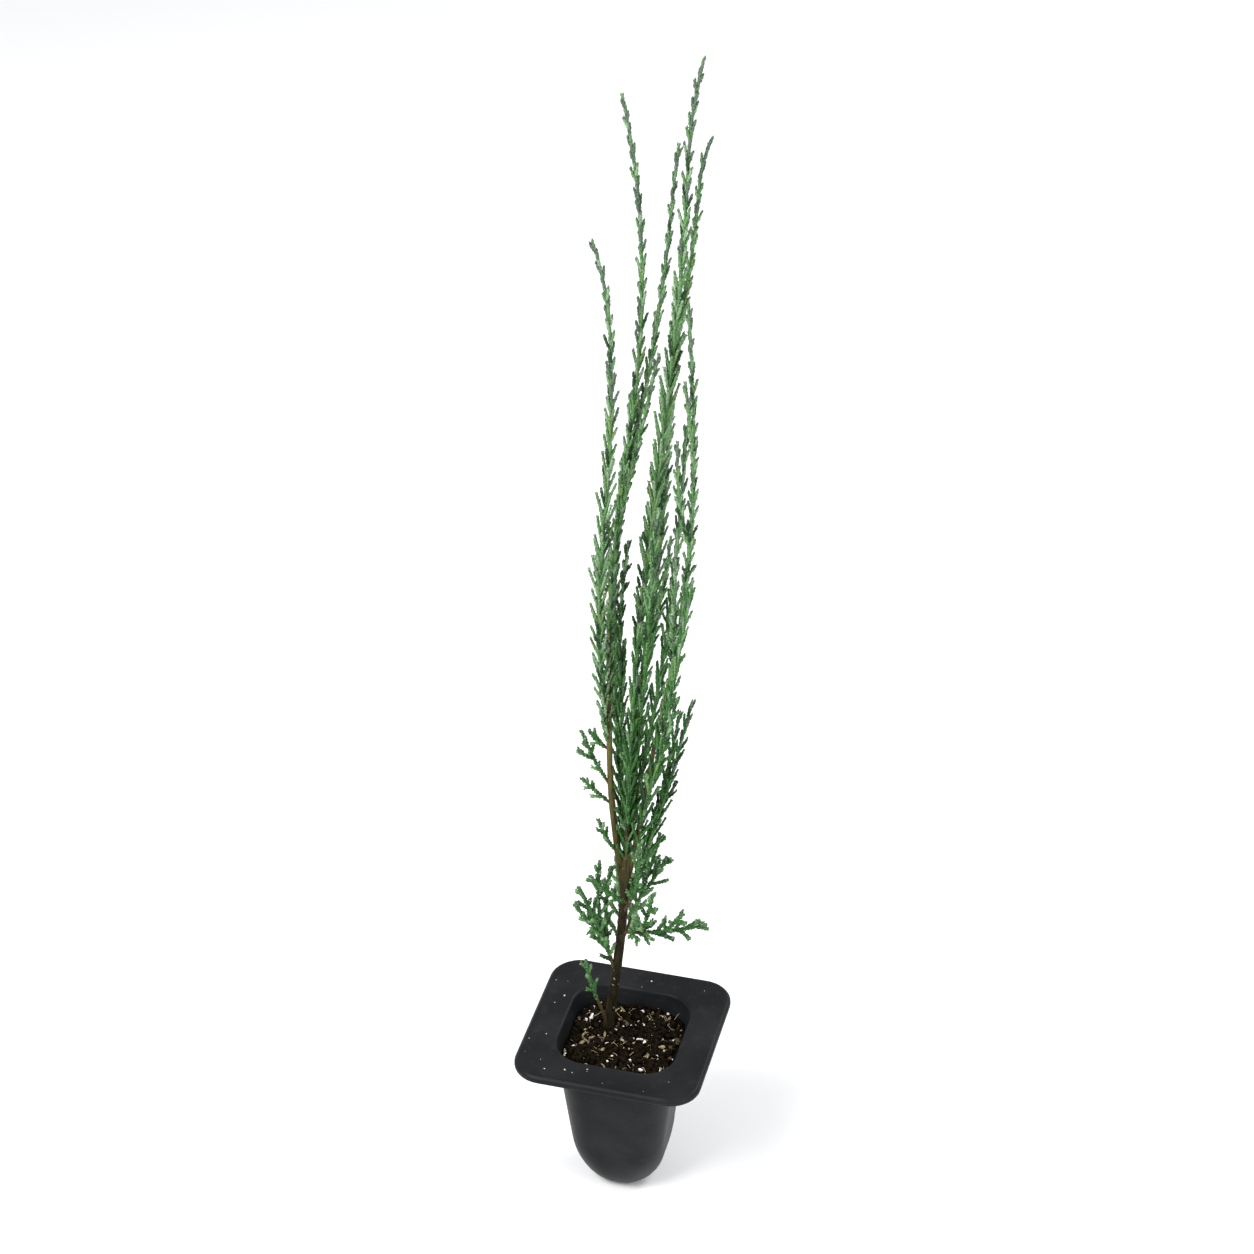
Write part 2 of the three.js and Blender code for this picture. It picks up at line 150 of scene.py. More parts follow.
class Shader:
    """A material whose nodes are written as expressions."""

    def __init__(self, name: str) -> None:
        """Starts a material with its Principled surface.

        Args:
            name: What the material is called.
        """
        self.material = bpy.data.materials.new(name)
        self.material.use_nodes = True
        self.tree = self.material.node_tree
        self.surface = self.tree.nodes["Principled BSDF"]

    def node(
        self, kind: str, settings: dict | None = None, inputs: dict | None = None, output: int | str = 0
    ) -> Socket:
        """Adds any node.

        Args:
            kind: The node's type.
            settings: Its properties, set first.
            inputs: The value or link of each socket, by name or number.
            output: The name or number of the output to hand back.

        Returns:
            That output.
        """
        made = self.tree.nodes.new(kind)
        for key, value in (settings or {}).items():
            setattr(made, key, value)
        for key, value in (inputs or {}).items():
            self._feed(made.inputs[key], value)
        return Socket(self, made.outputs[output])

    def _feed(self, target: bpy.types.NodeSocket, value: "Socket | float | tuple") -> None:
        """Links a value to a socket or sets it there.

        Args:
            target: The socket.
            value: The value or the link.
        """
        if isinstance(value, Socket):
            self.tree.links.new(value.link, target)
        elif isinstance(value, tuple) and target.type == "RGBA":
            target.default_value = (*value, 1.0)
        else:
            target.default_value = value

    def places(self, stretch: Place = EVEN) -> Socket:
        """The point on the object, in metres.

        Args:
            stretch: What each axis is multiplied by.

        Returns:
            The point as a vector.
        """
        point = self.node("ShaderNodeTexCoord", output="Object")
        if stretch == EVEN:
            return point
        return self.node("ShaderNodeVectorMath", {"operation": "MULTIPLY"}, {0: point, 1: stretch})

    def grain(self, layer: Grain) -> Socket:
        """Noise from 0 to 1.

        Args:
            layer: What it is like.

        Returns:
            The noise, or its patches where it has them.
        """
        inputs = {"Vector": self.places(layer.stretch), "Scale": 1.0 / (layer.size * MM)}
        finer = {"Detail": layer.detail, "Roughness": layer.rough}
        made = self.node("ShaderNodeTexNoise", None, inputs | finer)
        return made.between(*layer.patches) if layer.patches else made

    def blend(self, share: Socket, first: "Socket | Colour", second: "Socket | Colour") -> Socket:
        """A mix of two colours.

        Args:
            share: How much of the second there is.
            first: The colour at 0.
            second: The colour at 1.

        Returns:
            The colour.
        """
        inputs = {MIX_SHARE: share, MIX_FIRST: first, MIX_SECOND: second}
        return self.node("ShaderNodeMix", {"data_type": "RGBA"}, inputs, MIX_COLOUR)

    def dress(self, **inputs: "Socket | float | tuple") -> bpy.types.Material:
        """Sets the surface's sockets.

        Args:
            inputs: The value or link of each socket, its name written with low lines.

        Returns:
            The finished material.
        """
        for key, value in inputs.items():
            name = key.replace("_", " ").title().replace("Ior", "IOR")
            self._feed(self.surface.inputs[name], value)
        return self.material

    def bump(self, height: Socket, depth: float) -> Socket:
        """A normal from a height.

        Args:
            height: The height, from 0 to 1.
            depth: How deep the relief is, in millimetres.

        Returns:
            The normal.
        """
        inputs = {"Strength": 1.0, "Distance": depth * MM, "Height": height}
        return self.node("ShaderNodeBump", None, inputs)


# Finishes


@dataclass(frozen=True)
class PlasticFinish:
    """Charcoal moulded plastic, satin, with a fine grain, scuffs and dust from the potting mix."""

    base: Colour = (0.0098, 0.0103, 0.0113)
    faded: Colour = (0.0155, 0.0162, 0.0175)
    dust: Colour = (0.10, 0.088, 0.070)
    clouds: Grain = Grain(14.0)
    fading: Pair = (0.35, 0.7)  # the clouds where it begins to fade and where it is faded
    fine: Grain = Grain(0.45, 2.0)
    specks: Grain = Grain(1.3, 4.0, EVEN, 0.7, (0.66, 0.72))
    scuffs: Grain = Grain(5.0, 5.0, (1.0, 1.0, 3.0), 0.65, (0.56, 0.7))
    dusty: Pair = (0.55, 0.07)  # how much of a speck and of a scuff is dust
    roughness: float = 0.36
    rougher: Place = (0.08, 0.05, 0.2)  # what clouds, scuffs and specks add to the roughness
    relief: float = 0.02
    shine: float = 0.085

    def material(self) -> bpy.types.Material:
        """Makes the material.

        Returns:
            The material.
        """
        shader = Shader("charcoal_plastic")
        clouds, scuffs, specks = (shader.grain(layer) for layer in (self.clouds, self.scuffs, self.specks))
        worn = shader.blend(clouds.between(*self.fading), self.base, self.faded)
        dusty = specks * self.dusty[0] + scuffs * self.dusty[1]
        cloudy, scuffed, specked = self.rougher
        return shader.dress(
            base_color=shader.blend(dusty, worn, self.dust),
            roughness=self.roughness + clouds * cloudy + scuffs * scuffed + specks * specked,
            normal=shader.bump(shader.grain(self.fine), self.relief),
            specular_ior_level=self.shine,
        )


@dataclass(frozen=True)
class BarkFinish:
    """Thin bark, dark and dull at the foot and warmer above, with pale flecks and cracks along the limb."""

    old: Colour = (0.021, 0.0162, 0.0072)
    young: Colour = (0.140, 0.128, 0.038)
    grey: Colour = (0.056, 0.052, 0.026)
    crack: Colour = (0.006, 0.005, 0.003)
    fleck: Colour = (0.40, 0.37, 0.30)
    turns: Pair = (0.11, 0.22)  # heights in metres between which it turns from old to young
    fibre: Grain = Grain(0.7, 5.0, (1.0, 1.0, 0.16), 0.65)
    cracked: Pair = (0.34, 0.5)  # the fibre where a crack is deepest and where it has ended
    patches: Grain = Grain(5.0, 2.0, (1.0, 1.0, 0.4), 0.5, (0.42, 0.7))
    flecks: Grain = Grain(1.5, 2.0, (1.0, 1.0, 0.7), 0.4, (0.70, 0.75))
    cover: Place = (0.45, 0.8, 0.7)  # the most that grey patches, cracks and flecks cover
    roughness: Pair = (0.45, 0.75)  # where the fibre is 0 and where it is 1
    relief: float = 0.2
    shine: float = 0.09

    def material(self) -> bpy.types.Material:
        """Makes the material.

        Returns:
            The material.
        """
        shader = Shader("young_bark")
        fibre, patches, flecks = (shader.grain(layer) for layer in (self.fibre, self.patches, self.flecks))
        most_grey, most_cracked, most_flecked = self.cover
        height = shader.node("ShaderNodeSeparateXYZ", None, {"Vector": shader.places()}, "Z")
        skin = shader.blend(height.between(*self.turns), self.old, self.young)
        patched = shader.blend(patches * most_grey, skin, self.grey)
        cracks = 1 - fibre.between(*self.cracked)
        cracked = shader.blend(cracks * most_cracked, patched, self.crack)
        return shader.dress(
            base_color=shader.blend(flecks * most_flecked, cracked, self.fleck),
            roughness=lerp(self.roughness, fibre),
            normal=shader.bump(fibre, self.relief),
            specular_ior_level=self.shine,
        )


@dataclass(frozen=True)
class MottledFinish:
    """A finish of two colours, whose roughness and relief follow the same grain as its colour."""

    name: str
    base: Colour
    stain: Colour
    stained: float = 1.0  # the most that the stain covers
    size: float = 1.1  # width of the grain's largest spots, and the rest of it as in Grain
    detail: float = 3.0
    rough: float = 0.5
    stretch: Place = EVEN
    rises: Pair = (0.42, 0.72)  # the grain where the stain begins and where it is full
    roughness: Pair = (0.48, 0.68)  # where the grain is 0 and where it is 1
    relief: float = 0.05
    shine: float = 0.28

    def material(self, name: str = "") -> bpy.types.Material:
        """Makes the material.

        Args:
            name: What it is called, where that isn't the finish's own name.

        Returns:
            The material.
        """
        shader = Shader(name or self.name)
        grain = shader.grain(Grain(self.size, self.detail, self.stretch, self.rough))
        stained = grain.between(*self.rises) * self.stained
        return shader.dress(
            base_color=shader.blend(stained, self.base, self.stain),
            roughness=lerp(self.roughness, grain),
            normal=shader.bump(grain, self.relief),
            specular_ior_level=self.shine,
        )


@dataclass(frozen=True)
class PeatFinish(MottledFinish):
    """Dark moist peat."""

    name: str = "dark_peat"
    base: Colour = (0.0025, 0.0018, 0.0012)
    stain: Colour = (0.010, 0.0070, 0.0036)
    detail: float = 5.0
    rough: float = 0.62
    rises: Pair = (0.36, 0.68)
    roughness: Pair = (0.72, 0.94)
    relief: float = 0.5
    shine: float = 0.03


@dataclass(frozen=True)
class CrumbFinish(MottledFinish):
    """A pale or coloured crumb in the potting mix, stained here and there."""

    stained: float = 0.35
    size: float = 0.8
    detail: float = 4.0
    rough: float = 0.6
    rises: Pair = (0.45, 0.75)
    roughness: Pair = (0.7, 0.95)
    relief: float = 0.12
    shine: float = 0.5


@dataclass(frozen=True)
class TwigFinish(MottledFinish):
    """A shoot's own brown skin, streaked along it."""

    name: str = "brown_twig"
    base: Colour = (0.105, 0.062, 0.030)
    stain: Colour = (0.060, 0.060, 0.026)
    size: float = 0.8
    stretch: Place = (1.0, 1.0, 0.3)
    rises: Pair = (0.35, 0.65)
    roughness: Pair = (0.55, 0.75)
    relief: float = 0.08
    shine: float = 0.25


@dataclass(frozen=True)
class LeafFinish(MottledFinish):
    """Scale leaves of one tint, with a thin waxy bloom."""

    stained: float = 0.3


@dataclass(frozen=True)
class FloorFinish:
    """The pale studio floor."""

    base: Colour = (0.93, 0.93, 0.93)
    roughness: float = 0.85

    def material(self) -> bpy.types.Material:
        """Makes the material."""
        return Shader("pale_floor").dress(base_color=self.base, roughness=self.roughness)


class Tint(Enum):
    """The tints that are dealt out to sprays. Each holds its leaves' finish. The deep and lush ones are
    dealt more low down and inside the crown, as painted shade, and the light one high up, as painted light.
    """

    MID = LeafFinish("mid", (0.128, 0.290, 0.096), (0.26, 0.40, 0.24))
    DEEP = LeafFinish("deep", (0.018, 0.068, 0.015), (0.07, 0.16, 0.065))
    # lush: partly the low plumes' own darker green and partly painted shade
    LUSH = LeafFinish("lush", (0.043, 0.156, 0.030), (0.11, 0.235, 0.09))
    LIGHT = LeafFinish("light", (0.245, 0.395, 0.208), (0.38, 0.50, 0.35))
    WARM = LeafFinish("warm", (0.168, 0.298, 0.096), (0.28, 0.41, 0.21))
    DUSKY = LeafFinish("dusky", (0.106, 0.162, 0.104), (0.20, 0.26, 0.20))
    YOUNG = LeafFinish("young", (0.050, 0.155, 0.036), (0.13, 0.26, 0.11))
    # blunt: its colour is partly darkened as painted shade of neighbouring plants
    BLUNT = LeafFinish("blunt", (0.185, 0.300, 0.152), (0.33, 0.44, 0.30), 0.5)


# Meshes


@dataclass
class Gathering:
    """Corners and triangles that are gathered for one piece."""

    corners: list[np.ndarray] = field(default_factory=list)
    faces: list[np.ndarray] = field(default_factory=list)
    corner_count: int = 0
    face_count: int = 0

    def add(self, corners: np.ndarray, faces: np.ndarray) -> None:
        """Adds one shape.

        Args:
            corners: Its corners, n by 3.
            faces: Its triangles, m by 3, counted from its own first corner.
        """
        self.corners.append(corners)
        self.faces.append(faces + self.corner_count)
        self.corner_count += len(corners)
        self.face_count += len(faces)

    def split(self, limit: int) -> list["Gathering"]:
        """Shares the shapes out.

        Args:
            limit: The most triangles in one share.

        Returns:
            As few gatherings as keep under the limit, of about the same size.
        """
        parts = [Gathering() for _ in range(math.ceil(self.face_count / limit))]
        first = 0
        seen = 0
        for corners, faces in zip(self.corners, self.faces):
            part = parts[min(len(parts) - 1, seen * len(parts) // self.face_count)]
            part.add(corners, faces - first)
            first += len(corners)
            seen += len(faces)
        return parts

    def mesh(self, name: str) -> bpy.types.Mesh:
        """The shapes as one mesh in metres.

        Args:
            name: The mesh's name.

        Returns:
            The mesh.
        """
        corners = np.concatenate(self.corners).astype(np.float32) * MM
        faces = np.concatenate(self.faces).astype(np.int32)
        mesh = bpy.data.meshes.new(name)
        mesh.vertices.add(len(corners))
        mesh.vertices.foreach_set("co", corners.ravel())
        mesh.loops.add(faces.size)
        mesh.loops.foreach_set("vertex_index", faces.ravel())
        mesh.polygons.add(len(faces))
        mesh.polygons.foreach_set("loop_start", np.arange(0, faces.size, 3, dtype=np.int32))
        mesh.update(calc_edges=True)
        return mesh

    def piece(self, name: str, material: bpy.types.Material, slot: str, stands_for: list[str]) -> None:
        """Turns the shapes into one piece, dressed and handed over as finish_piece does it."""
        finish_piece(self.mesh(name), material, stands_for)


def finish_piece(
    mesh: bpy.types.Mesh, material: bpy.types.Material, stands_for: list[str]
) -> None:
    """Dresses a mesh and puts it into the scene as an object of its own name under the root body.

    Args:
        mesh: The mesh.
        material: Its finish.
        stands_for: The CAD nodes that it replaces.
    """
    mesh.materials.clear()
    mesh.materials.append(material)
    mesh.polygons.foreach_set("use_smooth", [True] * len(mesh.polygons))
    made = placed(mesh.name, mesh)
    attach(made, "root")
    if stands_for:
        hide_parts(*stands_for)
    LOG.info("%s: %d faces", made.name, len(mesh.polygons))


def unit(vectors: np.ndarray) -> np.ndarray:
    """Vectors of length 1 along the same directions."""
    return vectors / np.maximum(np.linalg.norm(vectors, axis=-1, keepdims=True), TINY)


def across(tangents: np.ndarray) -> tuple[np.ndarray, np.ndarray]:
    """Two directions at right angles to each tangent and to each other."""
    first = unit(np.cross(tangents, [1.0, 0.0, 0.0]))
    return first, np.cross(tangents, first)


def ring_faces(rings: int, sides: int, closed_by: int) -> np.ndarray:
    """The triangles of a closed surface of rings with a point at each end.

    Args:
        rings: How many rings there are.
        sides: How many corners each has.
        closed_by: The number of the first end's corner, the other end's is the next.

    Returns:
        The triangles.
    """
    here = np.arange(sides)
    after = (here + 1) % sides
    start = (np.arange(rings - 1) * sides)[:, None]
    near, far = start + here, start + after
    walls = np.stack([near, far, far + sides, near, far + sides, near + sides], -1).reshape(-1, 3)
    last = (rings - 1) * sides
    first_end = np.stack([after, here, np.full(sides, closed_by)], -1)
    last_end = np.stack([last + here, last + after, np.full(sides, closed_by + 1)], -1)
    return np.concatenate([walls, first_end, last_end])


@dataclass(eq=False)
class Cord:
    """A thin round stem through points, with its radius at each."""

    centre: np.ndarray
    radii: np.ndarray

    @cached_property
    def tangents(self) -> np.ndarray:
        """The stem's direction at each point."""
        return unit(np.gradient(self.centre, axis=0))

    @cached_property
    def distances(self) -> np.ndarray:
        """How far along the stem each point is."""
        steps = np.linalg.norm(np.diff(self.centre, axis=0), axis=1)
        return np.concatenate([[0.0], np.cumsum(steps)])

    @property
    def length(self) -> float:
        """The length of the stem."""
        return float(self.distances[-1])

    def at(self, along: np.ndarray) -> tuple[np.ndarray, np.ndarray, np.ndarray]:
        """The stem at some distances along it.

        Args:
            along: The distances.

        Returns:
            The points, the directions and the radii there.
        """
        def between(values: np.ndarray) -> np.ndarray:
            """Values at the distances, axis by axis."""
            return np.stack([np.interp(along, self.distances, axis) for axis in values.T], -1)

        radii = np.interp(along, self.distances, self.radii)
        return between(self.centre), unit(between(self.tangents)), radii

    def tube(self, sides: int) -> tuple[np.ndarray, np.ndarray]:
        """The stem as a closed tube.

        Args:
            sides: How many facets it has round it.

        Returns:
            Its corners and its triangles.
        """
        turns = np.arange(sides) * 2 * np.pi / sides
        first, second = across(self.tangents)
        spokes = np.cos(turns)[:, None] * first[:, None] + np.sin(turns)[:, None] * second[:, None]
        corners = self.centre[:, None] + spokes * self.radii[:, None, None]
        corners = np.concatenate([corners.reshape(-1, 3), self.centre[:1], self.centre[-1:]])
        return corners, ring_faces(len(self.centre), sides, len(corners) - 2)


@dataclass(frozen=True)
class Scale:
    """The outline of one scale leaf and how its pairs stand on a stem."""

    length: float
    width: float
    lean: float  # degrees away from the stem
    step: float  # along the stem from pair to pair
    thickness: float = 0.2
    belly: float = 0.45  # share of its length where it is widest
    seat: float = 0.6  # share of the stem's radius where it is rooted
    unevenness: float = 0.18  # of its length
    lean_unevenness: float = 0.4
    twist: float = 0.3  # the most that it stands off its place round the stem, in radians

    # its corners are the root, the two sides, the keel and the tip
    FACES = np.array([(0, 2, 3), (0, 3, 1), (4, 3, 2), (4, 1, 3), (0, 1, 2), (4, 2, 1)])

    def leaves(
        self, stem: Cord, random: np.random.Generator, span: Pair = (0.0, 1.0), size: float = 1.0
    ) -> tuple[np.ndarray, np.ndarray]:
        """Leaves in crossed pairs along a part of a stem.

        Args:
            stem: What they grow on.
            random: Where the chance comes from.
            span: The part of the stem that they grow on, as shares of its length.
            size: What their length and width are multiplied by.

        Returns:
            Their corners and their triangles.
        """
        start, stop = span[0] * stem.length, span[1] * stem.length
        pairs = max(1, round((stop - start) / (self.step * size)))
        along = np.repeat(np.linspace(start, stop, pairs, endpoint=False), 2)
        index = np.arange(len(along))

        def stray(share: float) -> np.ndarray:
            """Factors round 1, one for each leaf."""
            return random.uniform(1 - share, 1 + share, len(along))

        base, tangent, radius = stem.at(along)
        first, second = across(tangent)
        turn = np.pi * (index % 2) + np.pi / 2 * (index // 2) + self.twist * (stray(1.0) - 1)
        outward = np.cos(turn)[:, None] * first + np.sin(turn)[:, None] * second
        lean = np.radians(self.lean * stray(self.lean_unevenness))[:, None]
        forward = tangent * np.cos(lean) + outward * np.sin(lean)
        raised = outward * np.cos(lean) - tangent * np.sin(lean)
        side = np.cross(forward, raised) * self.width * size / 2
        reach = forward * (self.length * size * stray(self.unevenness))[:, None]
        root = base + outward * (radius * self.seat)[:, None]
        middle = root + reach * self.belly
        keel = middle + raised * self.thickness * size
        corners = np.stack([root, middle - side, middle + side, keel, root + reach], 1)
        faces = self.FACES[None] + (index * corners.shape[1])[:, None, None]
        return corners.reshape(-1, 3), faces.reshape(-1, 3)


# The cell


def square_reach(angles: np.ndarray, half: float, corner: float) -> np.ndarray:
    """How far a rounded square reaches in each direction.

    Args:
        angles: The directions, in radians.
        half: Half the square's width.
        corner: The radius of its corners.

    Returns:
        The distance from its middle to its edge.
    """
    across_x, across_y = np.abs(np.cos(angles)), np.abs(np.sin(angles))
    more, less = np.maximum(across_x, across_y), np.minimum(across_x, across_y)
    core = half - corner
    along = core * (across_x + across_y)
    rounded = along + np.sqrt(np.maximum(along**2 - 2 * core**2 + corner**2, 0.0))
    return np.where(half * less <= core * more, half / more, rounded)


Station = tuple[float, float, float]  # one step of a profile: half width, height and corner radius


def turned_square(profile: list[Station], sides: int) -> tuple[np.ndarray, np.ndarray]:
    """A profile turned into a closed rounded square.

    Args:
        profile: Its steps, the first and the last of them on the axis.
        sides: How many facets it has round it.

    Returns:
        The surface's corners and its triangles.
    """
    angles = (np.arange(sides) + 0.5) * 2 * np.pi / sides
    around = np.column_stack([np.cos(angles), np.sin(angles)])
    rings = [
        np.column_stack([square_reach(angles, half, corner)[:, None] * around, np.full(sides, z)])
        for half, z, corner in profile[1:-1]
    ]
    ends = [np.array([[0.0, 0.0, end[1]]]) for end in (profile[0], profile[-1])]
    corners = np.concatenate([*rings, *ends])
    return corners, ring_faces(len(rings), sides, len(corners) - 2)


@dataclass
class Cell:
    """The moulded pot: a rounded cell with a flared mouth, a flat rim and a turned-down lip.

    Its height, the reach of its rim and the height of the mix in it are the CAD model's.
    """

    height: float = highest("pot")[2]
    rim_half: float = highest("pot")[0]
    soil_top: float = highest("potting_mix")[2]
    wall: float = 1.2
    mouth: float = 23.2  # half its inside width at the rim
    mouth_edge: float = 1.6  # radius of the edge between the rim and the inside
    throat: float = 22.4  # half its outside width where the flare to the mouth begins
    throat_depth: float = 16.0
    flaring: float = 1.5  # power by which the flare widens
    knuckle: float = 18.6  # half its outside width where the rounded bottom begins
    knuckle_height: float = 24.0
    foot: float = 7.6  # half the width of its flat underside
    foot_edge: Pair = (0.6, 0.05)  # how far in and up the edge of the underside is cut
    roundness: float = 0.52  # corner radius over half width
    rim_corner: float = 12.0
    rim_thickness: float = 1.4
    rim_step: float = 0.5  # step out from the wall where the rim's underside begins
    flat_edge: float = 3.0  # how far in from both its edges the rim is quite flat
    lip: float = 2.8  # how far the rim's edge turns down
    lip_inside: float = 0.3  # height over the lip's edge where its inside ends
    lip_roll: tuple[Pair, ...] = ((0.9, 0.0), (0.3, 0.0), (0.06, 0.12), (0.0, 0.35))  # steps in and up
    lip_edge: tuple[Pair, ...] = ((0.0, 1.25), (0.15, 0.95), (1.15, 0.07), (1.4, 0.0))  # in and down
    sides: int = 144
    rings: tuple[int, int, int] = (10, 6, 8)  # in the rounded bottom, the wall and the flare
    last_ring: float = 3.2  # how far under the rim's top the flare's last ring is
    mouth_steps: int = 6
    finish: PlasticFinish = PlasticFinish()

    @property
    def throat_height(self) -> float:
        """Where the flare to the mouth begins."""
        return self.height - self.throat_depth

    def half_at(self, z: float) -> float:
        """Half the outside width at a height.

        Args:
            z: The height over the floor.

        Returns:
            The half width.
        """
        if z >= self.throat_height:
            share = (z - self.throat_height) / self.throat_depth
            return lerp((self.throat, self.mouth + self.wall), share**self.flaring)
        if z >= self.knuckle_height:
            share = (z - self.knuckle_height) / (self.throat_height - self.knuckle_height)
            return lerp((self.knuckle, self.throat), share)
        drop = 1 - z / self.knuckle_height
        return lerp((self.foot, self.knuckle), math.sqrt(1 - drop * drop))

    def roundness_at(self, z: float) -> float:
        """The corner radius over the half width: all of it at the foot, where the cell is round."""
        return lerp((1.0, self.roundness), min(1.0, z / self.knuckle_height))

    def _station(self, half: float, z: float) -> Station:
        """One step of the cell's profile at a height."""
        return half, z, self.roundness_at(z) * half

    def _wall_heights(self) -> list[float]:
        """Where the wall has its rings.

        Returns:
            The heights, close together at the bottom and the mouth.
        """
        low, middle, high = self.rings
        turns = np.linspace(0, math.pi / 2, low + 1)[1:]
        bottom = self.knuckle_height * (1 - np.cos(turns))
        wall = np.linspace(self.knuckle_height, self.throat_height, middle + 1)[1:]
        flare = np.linspace(self.throat_height, self.height - self.last_ring, high + 1)[1:]
        return [*bottom, *wall, *flare]

    def _profile(self) -> list[Station]:
        """The closed profile.

        Returns:
            Its steps, from the middle of the underside out, up and back in to the middle of the floor.
        """
        top, edge, under = self.height, self.mouth_edge, self.height - self.rim_thickness
        turned_down = [
            (self.wall, under),
            (self.wall, top - self.lip + self.lip_inside),
            *((inset, top - self.lip + up) for inset, up in self.lip_roll),
            *((inset, top - down) for inset, down in self.lip_edge),
            (self.flat_edge, top),
        ]
        lip = [(self.rim_half - inset, z, self.rim_corner - inset) for inset, z in turned_down]
        mouth = [
            self._station(self.mouth + edge * (1 - math.cos(turn)), top - edge * (1 - math.sin(turn)))
            for turn in np.radians(np.linspace(90, 0, self.mouth_steps))
        ]
        heights = self._wall_heights()
        outside = [self._station(self.half_at(z), z) for z in heights]
        inside = [self._station(self.half_at(z) - self.wall, z) for z in reversed(heights)]
        return [
            (0.0, 0.0, 0.0),
            self._station(self.foot - self.foot_edge[0], 0.0),
            self._station(self.foot, self.foot_edge[1]),
            *outside,
            self._station(self.half_at(under) + self.rim_step, under),
            *lip,
            self._station(self.mouth + self.flat_edge, top),
            *mouth,
            *inside,
            self._station(self.foot - self.wall, self.wall),
            (0.0, self.wall, 0.0),
        ]

    def build(self) -> None:
        """Makes the pot and dresses it."""
        shell = Gathering()
        shell.add(*turned_square(self._profile(), self.sides))
        shell.piece("cell_shell", self.finish.material(), "pot_plastic", ["pot"])


# The potting mix


@dataclass(frozen=True)
class Crumb:
    """One kind of loose bit that lies on the mix, and how many there are."""

    name: str
    count: int
    size: Pair  # radius of the smallest and of the largest
    flatness: Pair  # height over length
    sunk: float  # how deep it lies over its radius, less than 0 where it stands off the mix
    seed: int
    finish: MottledFinish
    slimness: Pair = (0.6, 0.95)  # width over length
    spread: float = 1.9  # power by which small ones outnumber large ones
    unevenness: float = 0.22
    seat: float = 0.6  # how much of its flatness less that depth it is lifted by
    margin: float = 0.8  # share of its radius that it keeps from the wall and the trunk


@dataclass(frozen=True)
class Fibres:
    """The fine pale root hairs and straws that lie over the crumbs."""

    count: int = 46
    length: Pair = (3.0, 9.0)
    bend: float = 1.6  # the most that one turns by, in radians
    arch: Pair = (0.3, 1.4)  # how far its middle stands over its ends
    lift: float = 0.35  # how far its ends lie over the mix
    root: Pair = (0.07, 0.16)  # radius at its first end
    tip: float = 0.04  # radius at its last end
    margin: float = 3.0  # how far its first end keeps from the wall and the trunk
    wall_gap: float = 1.0  # how far all of it keeps from the wall
    steps: int = 8
    facets: int = 5
    seed: int = 13
    finish: CrumbFinish = CrumbFinish("pale_fibre", (0.50, 0.41, 0.27), (0.22, 0.15, 0.08))


